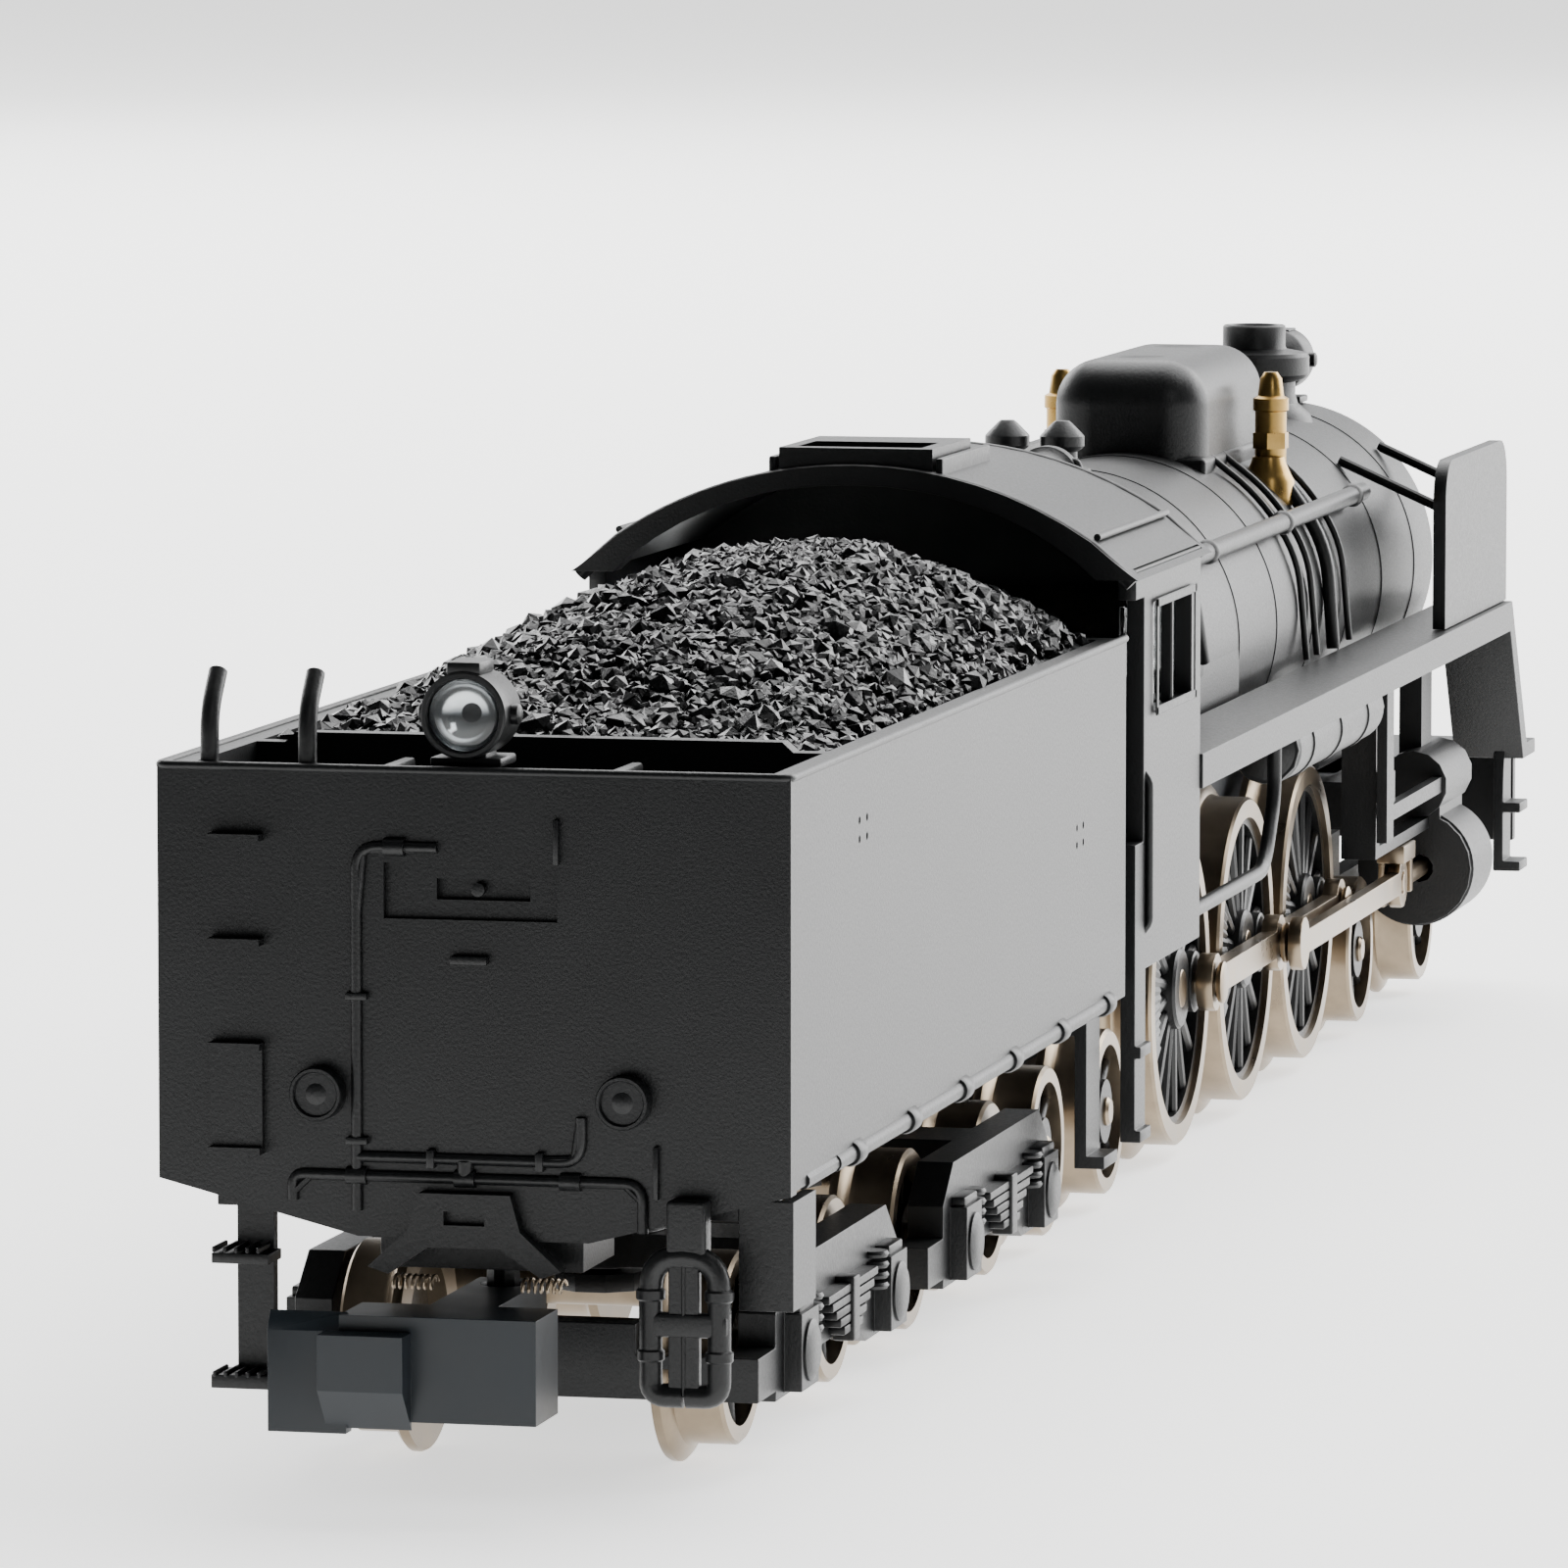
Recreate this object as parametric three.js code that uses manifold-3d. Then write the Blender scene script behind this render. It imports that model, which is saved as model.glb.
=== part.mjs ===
// A 1:150 scale model of a 4-6-4 express steam locomotive with its bogie tender.
// Millimetres. +X points to the chimney, +Y to the driver's left, +Z up.
// Heights are measured from the rail; the whole model is lifted by the flange height at the end,
// so that Z = 0 is the flat surface that its flanges stand on.
import * as THREE from 'three';
import { mergeVertices } from 'three/addons/utils/BufferGeometryUtils.js';
import Module from 'manifold-3d';

// ---- driving dimensions: along the track ----
const COUPLER_OUT = 4.4;          // each coupler's reach beyond its end of the model
const TENDER_LENGTH = 48.5;
const CAB_GAP = 0.5;              // between the tender's front and the cab roof
const CAB_LENGTH = 12.5;
const BOILER_LENGTH = 66.5;       // cab front to smokebox front
const FRONT_DECK = 6.4;           // smokebox front to the buffer beam's face
const MAIN_AXLE_AHEAD = 28;       // main driving axle ahead of the cab front
const DRIVER_SPACING = 12.8;
const LEADING_BACK = 11.7;        // front driver to the leading truck's rear axle
const LEADING_BASE = 14.4;
const TRAILING_BACK = 13.1;       // rear driver to the trailing truck's front axle
const TRAILING_BASE = 10.4;
const TENDER_OVERHANG = 9;        // tender rear panel to its rearmost axle
const TENDER_FRONT_OVERHANG = 4.6;
const BOGIE_BASE = 12;
const BULKHEAD_BACK = 7.5;        // tender rear panel to the coal bulkhead

// ---- driving dimensions: across the track ----
const TENDER_WIDTH = 18.6;
const CAB_WIDTH = 19.2;
const FOOTPLATE_WIDTH = 18.8;
const BACK_TO_BACK = 7.5;
const WHEEL_WIDTH = 2.0;
const FRAME_WIDTH = 6.4;
const CYLINDER_PITCH = 14.2;      // between the two cylinders' centre lines

// ---- driving dimensions: heights over the rail, and radii ----
const FLANGE = 0.55;
const DRIVER_R = 5.6;
const SMALL_R = 2.85;
const CRANK = 2.2;
const FRAME_TOP = 12.4;
const FOOTPLATE_TOP = 15.5;
const BOILER_CENTRE = 17.3;
const BOILER_R = 6.2;
const BOILER_WALL = 0.9;
const DOME_TOP = 26.9;
const CHIMNEY_TOP = 26.9;
const EAVES = 22.6;
const ROOF_TOP = 26.0;
const CAB_BOTTOM = 9.2;
const TENDER_BOTTOM = 8.7;
const TENDER_TOP = 20.5;
const CAB_WALL_BACK = 1.2;        // cab roof's rear rim to the cab's rear, clear of the tender on a curve
const DROP_PLATE = 1.6;           // how far the tender's rear panel hangs below its sides
const COAL_FLOOR = 17;
const COAL_PEAK = 24.1;
const CYLINDER_R = 2.25;

// ---- pins and pivots ----
const DRAWBAR_SETBACK = 1.6;      // drawbar pin to the end of the frame or of the tender
const TENDER_PIN_R = 0.5;
const STUD_R = 0.45;
const COUPLER_PIN_R = 0.5;
const CROSSHEAD_PIN_R = 0.35;
const AXLE_R = 0.75;
const PIN_R = 0.45;               // crank pin
const CAP_R = 0.75;               // crank pin's washer

// ---- clearances and wall thicknesses ----
const SEAT = 0.05;                // between two pieces that rest on each other
const RUNNING = 0.2;              // round a shaft that turns
const ROD_PLAY = 0.12;            // round a crank pin or crosshead pin
const WALL = 0.8;
const SHEET = 0.6;

// ---- places worked out from the sizes above ----
const LENGTH = 2 * COUPLER_OUT + TENDER_LENGTH + CAB_GAP + CAB_LENGTH + BOILER_LENGTH + FRONT_DECK;
const tenderRear = COUPLER_OUT - LENGTH / 2;
const tenderFront = tenderRear + TENDER_LENGTH;
const cabRear = tenderFront + CAB_GAP;
const cabFront = cabRear + CAB_LENGTH;
const smokeboxFront = cabFront + BOILER_LENGTH;
const beamFace = smokeboxFront + FRONT_DECK;
const mainAxle = cabFront + MAIN_AXLE_AHEAD;
const driverAxles = { rear: mainAxle - DRIVER_SPACING, main: mainAxle, front: mainAxle + DRIVER_SPACING };
const leadingRear = driverAxles.front + LEADING_BACK;
const leadingFront = leadingRear + LEADING_BASE;
const leadingPivot = (leadingRear + leadingFront) / 2;
const trailingFront = driverAxles.rear - TRAILING_BACK;
const trailingRear = trailingFront - TRAILING_BASE;
const trailingPivot = (trailingRear + trailingFront) / 2;
const rearBogieAxles = [tenderRear + TENDER_OVERHANG, tenderRear + TENDER_OVERHANG + BOGIE_BASE];
const frontBogieAxles = [
  tenderFront - TENDER_FRONT_OVERHANG - BOGIE_BASE, tenderFront - TENDER_FRONT_OVERHANG];
const middle = (pair) => (pair[0] + pair[1]) / 2;
const wheelBack = BACK_TO_BACK / 2;
const wheelFace = wheelBack + WHEEL_WIDTH;
const sideRodPlane = [wheelFace + 0.3, wheelFace + 0.9];
const mainRodPlane = [wheelFace + 1.3, wheelFace + 1.8];
const valvePlane = [wheelFace + 2.1, wheelFace + 2.5];
const trimSide = TENDER_WIDTH / 2;

// ---- solids ----
const wasm = await Module();
wasm.setup();

function solid(geometry) {
  const bare = geometry.clone();
  bare.deleteAttribute('normal');
  bare.deleteAttribute('uv');
  const merged = mergeVertices(bare, 1e-5);
  const index = Array.from(merged.index.array);
  const corners = [];
  for (let i = 0; i < index.length; i += 3) {
    const [a, b, c] = index.slice(i, i + 3);
    if (a !== b && b !== c && c !== a) corners.push(a, b, c);
  }
  const asMesh = (triVerts) => new wasm.Mesh({
    numProp: 3, vertProperties: new Float32Array(merged.attributes.position.array),
    triVerts: new Uint32Array(triVerts) });
  const made = new wasm.Manifold(asMesh(corners));
  if (made.volume() > 0) return made;
  return new wasm.Manifold(asMesh(corners.reverse()));
}

const join = (first, ...others) => others.reduce((a, b) => a.add(b), first);
const cut = (first, ...others) => others.reduce((a, b) => a.subtract(b), first);
const sorted = (a, b) => (a < b ? [a, b] : [b, a]);

function box(x, y, z) {
  const [[x0, x1], [y0, y1], [z0, z1]] = [sorted(...x), sorted(...y), sorted(...z)];
  const geometry = new THREE.BoxGeometry(x1 - x0, y1 - y0, z1 - z0);
  return solid(geometry.translate((x0 + x1) / 2, (y0 + y1) / 2, (z0 + z1) / 2));
}

function outline(points) {
  return points instanceof THREE.Shape ? points : new THREE.Shape(points.map((p) => new THREE.Vector2(...p)));
}

// A prism whose outline is in the XZ plane and whose thickness runs along Y.
function prismY(points, y, curveSegments = 8) {
  const [y0, y1] = sorted(...y);
  const geometry = new THREE.ExtrudeGeometry(outline(points),
    { depth: y1 - y0, bevelEnabled: false, curveSegments });
  return solid(geometry.rotateX(Math.PI / 2).translate(0, y1, 0));
}

// A prism whose outline is in the YZ plane and whose thickness runs along X.
function prismX(points, x, curveSegments = 8) {
  const [x0, x1] = sorted(...x);
  const geometry = new THREE.ExtrudeGeometry(outline(points),
    { depth: x1 - x0, bevelEnabled: false, curveSegments });
  const turn = new THREE.Matrix4().makeBasis(
    new THREE.Vector3(0, 1, 0), new THREE.Vector3(0, 0, 1), new THREE.Vector3(1, 0, 0));
  return solid(geometry.applyMatrix4(turn).translate(x0, 0, 0));
}

// A prism whose outline is in the XY plane and whose thickness runs along Z.
function prismZ(points, z, curveSegments = 8) {
  const [z0, z1] = sorted(...z);
  const geometry = new THREE.ExtrudeGeometry(outline(points),
    { depth: z1 - z0, bevelEnabled: false, curveSegments });
  return solid(geometry.translate(0, 0, z0));
}

// A turned piece: profile is [radius, distance along the axis], starting and ending on the axis.
function turned(profile, axis, centre, sides = 12) {
  const geometry = new THREE.LatheGeometry(profile.map((p) => new THREE.Vector2(...p)), sides);
  if (axis === 'x') geometry.rotateZ(-Math.PI / 2);
  if (axis === 'z') geometry.rotateX(Math.PI / 2);
  return solid(geometry.translate(...centre));
}

// A round bar or hole between two points along one axis.
function bar(axis, radius, [from, to], centre, sides = 10) {
  const [low, high] = sorted(from, to);
  return turned([[0, low], [radius, low], [radius, high], [0, high]], axis, centre, sides);
}

// A bent rod or pipe: straight runs with rounded corners.
function pipe(points, radius, bend = 0.6, sides = 5) {
  const path = new THREE.CurvePath();
  const at = points.map((p) => new THREE.Vector3(...p));
  let start = at[0];
  let steps = 1;
  for (let i = 1; i < at.length - 1; i += 1) {
    const reach = Math.min(bend, at[i].distanceTo(at[i - 1]) / 2.1, at[i].distanceTo(at[i + 1]) / 2.1);
    const before = at[i].clone().add(at[i - 1].clone().sub(at[i]).setLength(reach));
    const after = at[i].clone().add(at[i + 1].clone().sub(at[i]).setLength(reach));
    path.add(new THREE.LineCurve3(start, before));
    path.add(new THREE.QuadraticBezierCurve3(before, at[i], after));
    start = after;
    steps += 5;
  }
  path.add(new THREE.LineCurve3(start, at.at(-1)));
  const section = new THREE.Shape();
  section.absarc(0, 0, radius, 0, Math.PI * 2);
  return solid(new THREE.ExtrudeGeometry(section,
    { steps, extrudePath: path, bevelEnabled: false, curveSegments: sides }));
}

// A flat rod in the XZ plane between two eyes, with a round end and a hole at each.
function linkOutline(from, to, width, eye) {
  const angle = Math.atan2(to[1] - from[1], to[0] - from[0]);
  const neck = Math.asin(width / 2 / eye);
  const shape = new THREE.Shape();
  shape.absarc(from[0], from[1], eye, angle + neck, angle - neck + 2 * Math.PI, false);
  shape.absarc(to[0], to[1], eye, angle + Math.PI + neck, angle + 3 * Math.PI - neck, false);
  return shape;
}

// ---- finishes ----
const blackPlastic = { color: 0x232527, roughness: 0.5, metalness: 0 };
const blackMetal = { color: 0x2a2b2d, roughness: 0.45, metalness: 0.3 };
const bluePlastic = { color: 0x262e34, roughness: 0.55, metalness: 0 };
const brass = { color: 0xb08d4c, roughness: 0.3, metalness: 1 };
const nickel = { color: 0xb9b3a8, roughness: 0.3, metalness: 1 };
const darkZinc = { color: 0x55575a, roughness: 0.5, metalness: 0.8 };
const coal = { color: 0x16171a, roughness: 0.35, metalness: 0 };
const clear = { color: 0xdfe6e8, roughness: 0.05, metalness: 0, transparent: true, opacity: 0.35 };
const copper = { color: 0xb07a50, roughness: 0.35, metalness: 1 };

const model = new THREE.Group();

function part(name, piece, finish) {
  const { vertProperties, triVerts, numProp } = piece.getMesh();
  const geometry = new THREE.BufferGeometry();
  const positions = new Float32Array((vertProperties.length / numProp) * 3);
  for (let i = 0; i < positions.length; i += 1) {
    positions[i] = vertProperties[Math.floor(i / 3) * numProp + (i % 3)];
  }
  geometry.setAttribute('position', new THREE.BufferAttribute(positions, 3));
  geometry.setIndex(new THREE.BufferAttribute(new Uint32Array(triVerts), 1));
  geometry.computeVertexNormals();
  const mesh = new THREE.Mesh(geometry, new THREE.MeshStandardMaterial(finish));
  mesh.name = name;
  model.add(mesh);
}

const sides = { left: 1, right: -1 };

// ======================= wheels =======================

// A wheelset in one turned piece: axle, both discs, treads and flanges.
function wheelset(radius, axleEnd, extra = []) {
  const half = [[AXLE_R, axleEnd], [AXLE_R, wheelFace], [radius, wheelFace],
    [radius, wheelBack + 0.6], [radius + FLANGE, wheelBack + 0.35], [radius + FLANGE, wheelBack],
    [AXLE_R, wheelBack]];
  const mirrored = half.slice().reverse().map(([r, t]) => [r, -t]);
  return [[0, axleEnd], ...half, ...extra, ...mirrored, [0, -axleEnd]];
}

function smallWheels(name, x, axleEnd) {
  part(name, turned(wheelset(SMALL_R, axleEnd), 'y', [x, 0, SMALL_R]), nickel);
}

const gearR = 2.1;
const gearHalf = 0.8;

// The crank on the right is a quarter turn from the crank on the left.
const crankAngle = { left: -Math.PI / 2, right: 0 };
const crankAt = (side, x) => [
  x + CRANK * Math.cos(crankAngle[side]), DRIVER_R + CRANK * Math.sin(crankAngle[side])];

for (const [place, x] of Object.entries(driverAxles)) {
  const gear = place === 'main'
    ? [[AXLE_R, gearHalf], [gearR, gearHalf], [gearR, -gearHalf], [AXLE_R, -gearHalf]] : [];
  let piece = turned(wheelset(DRIVER_R, wheelFace + 0.1, gear), 'y', [x, 0, DRIVER_R], 20);
  for (const [side, sign] of Object.entries(sides)) {
    const [pinX, pinZ] = crankAt(side, x);
    const pin = bar('y', PIN_R, [sign * (wheelFace - 0.3), sign * (sideRodPlane[1] + 0.2)], [pinX, 0, pinZ]);
    const cap = bar('y', CAP_R, [sign * (sideRodPlane[1] + 0.08), sign * (sideRodPlane[1] + 0.3)],
      [pinX, 0, pinZ]);
    const boss = bar('y', 1.1, [sign * (wheelFace - 0.3), sign * (wheelFace + 0.15)], [pinX, 0, pinZ]);
    piece = join(piece, pin, cap, boss);
  }
  part(`driver_axle_${place}`, piece, nickel);
}

smallWheels('leading_axle_front', leadingFront, wheelFace + 0.1);
smallWheels('leading_axle_rear', leadingRear, wheelFace + 0.1);
smallWheels('trailing_axle_front', trailingFront, wheelFace + 0.1);
smallWheels('trailing_axle_rear', trailingRear, wheelFace + 0.1);

// ======================= chassis =======================

const frameHalf = FRAME_WIDTH / 2;
const frameBottom = 3.3;
const truckClear = 2 * SMALL_R + FLANGE + 0.9;   // underside of the frame over the small wheels
const frameRear = cabRear + 2.4;
const frameFront = beamFace - 1.2;
const rearStep = driverAxles.rear - DRIVER_R - FLANGE;
const frontStep = driverAxles.front + DRIVER_R + FLANGE - 1.5;
const motorBottom = 10.6;
const motorRear = cabFront + 1.8;
const motorFront = motorRear + 13.6;
const wormCentre = 14.9;
const idlerR = 2.5;
const idlerCentre = DRIVER_R + gearR + idlerR + 0.1;
const deckHeight = 9.4;            // front platform over the buffer beam

{
  const profile = [[frameRear, truckClear], [rearStep, truckClear], [rearStep, frameBottom],
    [frontStep, frameBottom], [frontStep, truckClear + 0.4], [frameFront, truckClear + 0.4],
    [frameFront, deckHeight - SHEET - SEAT], [smokeboxFront - 12.4, deckHeight - SHEET - SEAT],
    [smokeboxFront - 12.4, FRAME_TOP], [motorFront + 0.6, FRAME_TOP],
    [motorFront + 0.6, motorBottom - SEAT], [frameRear, motorBottom - SEAT]];
  let piece = prismY(profile, [-frameHalf, frameHalf]);
  for (const x of Object.values(driverAxles)) {
    const slot = AXLE_R + RUNNING;
    piece = cut(piece, bar('y', slot, [-frameHalf - 1, frameHalf + 1], [x, 0, DRIVER_R]),
      box([x - slot, x + slot], [-frameHalf - 1, frameHalf + 1], [frameBottom - 1, DRIVER_R]));
  }
  const gearWell = idlerR + 0.4;
  piece = cut(piece,
    box([mainAxle - gearWell, mainAxle + gearWell], [-1.3, 1.3], [frameBottom - 1, FRAME_TOP + 1]),
    bar('y', 0.6 + RUNNING, [-frameHalf - 1, frameHalf + 1], [mainAxle, 0, idlerCentre]),
    bar('z', 0.7, [truckClear - 1, deckHeight], [leadingPivot, 0, 0]),
    bar('z', 0.7, [truckClear - 1, motorBottom - 1.4], [trailingPivot, 0, 0]),
    bar('z', STUD_R + RUNNING, [truckClear - 1, truckClear + 2], [frameRear + DRAWBAR_SETBACK, 0, 0]));
  part('loco_frame', piece, darkZinc);
}

part('keeper_plate', cut(
  box([rearStep + 0.3, frontStep - 0.3], [-frameHalf, frameHalf], [frameBottom - 0.75, frameBottom - SEAT]),
  ...[rearStep + 2, frontStep - 2].map((x) => bar('z', 0.5, [0, 5], [x, 0, 0]))), blackPlastic);

part('idler_gear', turned([[0, 2.9], [0.6, 2.9], [0.6, gearHalf], [idlerR, gearHalf], [idlerR, -gearHalf],
  [0.6, -gearHalf], [0.6, -2.9], [0, -2.9]], 'y', [mainAxle, 0, idlerCentre]), brass);

// The worm and the motor lie on one line inside the boiler.
const wormR = wormCentre - idlerCentre - idlerR - 0.1;
part('worm', turned([[0, motorFront + 0.3], [0.5, motorFront + 0.3], [0.5, mainAxle - 2.4],
  [wormR, mainAxle - 2.4], [wormR, mainAxle + 2.4], [0.5, mainAxle + 2.4], [0.5, mainAxle + 4.2],
  [0, mainAxle + 4.2]], 'x', [0, 0, wormCentre], 12), brass);
{
  const half = wheelBack - 0.25;
  const can = prismX([[-half, motorBottom + 1], [1 - half, motorBottom], [half - 1, motorBottom],
    [half, motorBottom + 1], [half, wormCentre + 3.2], [half - 1, wormCentre + 4.2],
    [1 - half, wormCentre + 4.2], [-half, wormCentre + 3.2]],
  [motorRear, motorFront - 1]);
  const nose = bar('x', 1.7, [motorFront - 1.2, motorFront], [0, 0, wormCentre]);
  part('motor', join(can, nose), nickel);
}

// ======================= boiler =======================

const boilerRear = cabFront + SEAT;
const fireboxFront = cabFront + 24;
const innerR = BOILER_R - BOILER_WALL;
const saddleFront = smokeboxFront - 3.2;

{
  const barrel = bar('x', BOILER_R, [boilerRear, smokeboxFront], [0, 0, BOILER_CENTRE], 32);
  const firebox = box([boilerRear, fireboxFront], [-BOILER_R, BOILER_R], [FRAME_TOP + 0.2, BOILER_CENTRE]);
  const saddle = box([smokeboxFront - 10.6, saddleFront], [-3.4, 3.4], [deckHeight + SEAT, BOILER_CENTRE]);
  const bore = bar('x', innerR, [boilerRear - 1, smokeboxFront - 12], [0, 0, BOILER_CENTRE], 32);
  const belly = box([boilerRear - 1, smokeboxFront - 12], [-4.6, 4.6], [FRAME_TOP - 2, BOILER_CENTRE]);
  const fireboxBelly = box([boilerRear - 1, fireboxFront - WALL], [-innerR, innerR],
    [FRAME_TOP - 2, BOILER_CENTRE]);
  part('boiler', cut(join(barrel, firebox, saddle), bore, belly, fireboxBelly), blackPlastic);
}

const doorR = BOILER_R - 1;
part('smokebox_door', turned([[0, 0], [doorR, 0], [doorR, 0.35], [doorR * 0.75, 1], [0.9, 1.35], [0.9, 1.7],
  [0, 1.7]], 'x', [smokeboxFront + SEAT, 0, BOILER_CENTRE], 24), blackPlastic);

// What stands on the boiler is cut to its curve.
const boilerSeat = (from, to) => bar('x', BOILER_R + SEAT, [from, to], [0, 0, BOILER_CENTRE], 32);

const chimneyX = smokeboxFront - 6.5;
part('chimney', cut(turned([[0, BOILER_CENTRE + 4], [2.3, BOILER_CENTRE + 4], [2.3, BOILER_CENTRE + 6.2],
  [1.65, BOILER_CENTRE + 6.8], [1.65, CHIMNEY_TOP - 2.2], [2.2, CHIMNEY_TOP - 1.9],
  [2.2, CHIMNEY_TOP - 1.2], [1.25, CHIMNEY_TOP - 0.9], [1.25, CHIMNEY_TOP], [0.95, CHIMNEY_TOP],
  [0.95, CHIMNEY_TOP - 2], [0, CHIMNEY_TOP - 2]], 'z', [chimneyX, 0, 0], 20),
boilerSeat(chimneyX - 5, chimneyX + 5)), blackPlastic);

const domeRear = cabFront + 33.5;
const domeFront = domeRear + 13.7;
const domeHalf = 2.9;
{
  const across = new THREE.Shape();
  const shoulder = 1.9;
  across.moveTo(-domeHalf - 0.4, BOILER_CENTRE + 3);
  across.lineTo(domeHalf + 0.4, BOILER_CENTRE + 3);
  across.lineTo(domeHalf, BOILER_CENTRE + 6.5);
  across.lineTo(domeHalf, DOME_TOP - shoulder);
  across.absarc(domeHalf - shoulder, DOME_TOP - shoulder, shoulder, 0, Math.PI / 2, false);
  across.absarc(shoulder - domeHalf, DOME_TOP - shoulder, shoulder, Math.PI / 2, Math.PI, false);
  across.lineTo(-domeHalf, BOILER_CENTRE + 6.5);
  const along = new THREE.Shape();
  const nose = 1.6;
  along.moveTo(domeRear, BOILER_CENTRE + 3);
  along.lineTo(domeFront, BOILER_CENTRE + 3);
  along.absarc(domeFront - nose, DOME_TOP - nose, nose, 0, Math.PI / 2, false);
  along.absarc(domeRear + nose, DOME_TOP - nose, nose, Math.PI / 2, Math.PI, false);
  const body = prismX(across, [domeRear - 1, domeFront + 1], 5)
    .intersect(prismY(along, [-domeHalf - 1, domeHalf + 1], 5));
  part('steam_dome', cut(body, boilerSeat(domeRear - 2, domeFront + 2)), blackPlastic);
}

// Brass feed valves stand on the boiler's shoulders on each side of the dome.
const feedValveY = domeHalf + 1.15;
const feedFootR = 1.05;
for (const [side, sign] of Object.entries(sides)) {
  const x = domeRear + 8.2;
  const y = sign * feedValveY;
  const stem = bar('z', 0.65, [BOILER_CENTRE + 3, DOME_TOP - 0.8], [x, y, 0], 10);
  const foot = turned([[0, BOILER_CENTRE + 3], [feedFootR, BOILER_CENTRE + 3], [feedFootR, BOILER_CENTRE + 5.3],
    [0.65, BOILER_CENTRE + 5.9], [0, BOILER_CENTRE + 5.9]], 'z', [x - 0.5, y, 0], 10);
  const domeSide = box([domeRear - 1, domeFront + 1], [-domeHalf - 0.45, domeHalf + 0.45], [0, DOME_TOP]);
  part(`feed_valve_${side}`, cut(join(stem, foot), boilerSeat(x - 3, x + 3), domeSide), brass);
}

{
  const x = cabFront + 17;
  const valve = (y) => turned([[0, BOILER_CENTRE + 5], [0.55, BOILER_CENTRE + 5], [0.55, BOILER_CENTRE + 7.4],
    [0.8, BOILER_CENTRE + 7.5], [0.8, BOILER_CENTRE + 7.9], [0.35, BOILER_CENTRE + 8.4],
    [0, BOILER_CENTRE + 8.4]], 'z', [x, y, 0], 10);
  const base = box([x - 1, x + 1], [-1.9, 1.9], [BOILER_CENTRE + 5, BOILER_CENTRE + BOILER_R + 0.5]);
  part('safety_valves', cut(join(valve(-1), valve(1), base), boilerSeat(x - 3, x + 3)), blackPlastic);
}

{
  const x = cabFront + 7.5;
  const drum = turned([[0, -1.6], [0.9, -1.5], [0.9, 0.6], [1.15, 0.7], [1.15, 1.5], [0, 1.7]], 'x',
    [x, -2.2, BOILER_CENTRE + BOILER_R + 0.7], 12);
  const foot = box([x - 0.8, x + 0.8], [-2.7, -1.7], [BOILER_CENTRE + 4.5, BOILER_CENTRE + BOILER_R + 0.5]);
  part('generator', cut(join(drum, foot), boilerSeat(x - 4, x + 4)), blackPlastic);
}

// The two lamps are alike: a short drum on a foot, with a clear lens pressed into its mouth.
const LAMP_R = 1.25;
function lamp(name, faceX, facing, height, y, footBottom, cutter) {
  const along = (t) => facing * t;
  const drum = turned([[0, along(-2.6)], [0.8, along(-2.6)], [LAMP_R, along(-2)], [LAMP_R, 0],
    [LAMP_R - 0.25, 0], [LAMP_R - 0.25, along(-0.9)], [0, along(-0.9)]], 'x', [faceX, y, height], 20);
  const foot = box([faceX + along(-0.5), faceX + along(-2)], [y - 0.6, y + 0.6], [footBottom, height - LAMP_R + 0.3]);
  const body = join(drum, foot);
  part(name, cutter ? cut(body, cutter) : body, blackPlastic);
  part(`${name}_lens`, turned([[0, along(-0.8)], [LAMP_R - 0.3, along(-0.8)], [LAMP_R - 0.3, along(-0.35)],
    [LAMP_R * 0.5, along(-0.12)], [0, along(-0.05)]], 'x', [faceX, y, height], 20), clear);
}
const frontLampZ = BOILER_CENTRE + BOILER_R + LAMP_R + 0.45;
lamp('headlight', smokeboxFront + 0.2, 1, frontLampZ, 0, BOILER_CENTRE + 5,
  boilerSeat(smokeboxFront - 6, smokeboxFront));
const rearLampZ = TENDER_TOP + 1.55;
lamp('rear_lamp', tenderRear + 0.3, -1, rearLampZ, 0.35, TENDER_TOP + SEAT);

// Boiler side rails, carried on short posts, run from the cab to the smoke deflectors.
const deflectorTop = 22.1;
const deflectorLength = 15;
const railR = 0.36;
for (const [side, sign] of Object.entries(sides)) {
  const angle = 0.55;
  const clearOfValves = (feedValveY + feedFootR + railR + 0.3) / Math.cos(angle);
  const reach = Math.max(BOILER_R + 0.75, clearOfValves);
  const at = (r) => [sign * r * Math.cos(angle), BOILER_CENTRE + r * Math.sin(angle)];
  const rail = bar('x', railR, [cabFront + 0.4, smokeboxFront - deflectorLength - 0.3], [0, ...at(reach)], 8);
  const posts = [4, 19, 34, 49].map((x) => pipe(
    [[cabFront + x, ...at(BOILER_R + 0.12)], [cabFront + x, ...at(reach)]], 0.22));
  part(`boiler_rail_${side}`, cut(join(rail, ...posts), boilerSeat(cabFront, smokeboxFront)), blackPlastic);
}

// ======================= footplate, deflectors, cab =======================

const boardHalf = FOOTPLATE_WIDTH / 2;
const boardInner = BOILER_R + 0.35;
const boardRear = cabFront + SEAT;
const boardFront = smokeboxFront + 0.3;
const slopeFront = boardFront + 3.4;
const tankR = 1.25;

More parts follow.
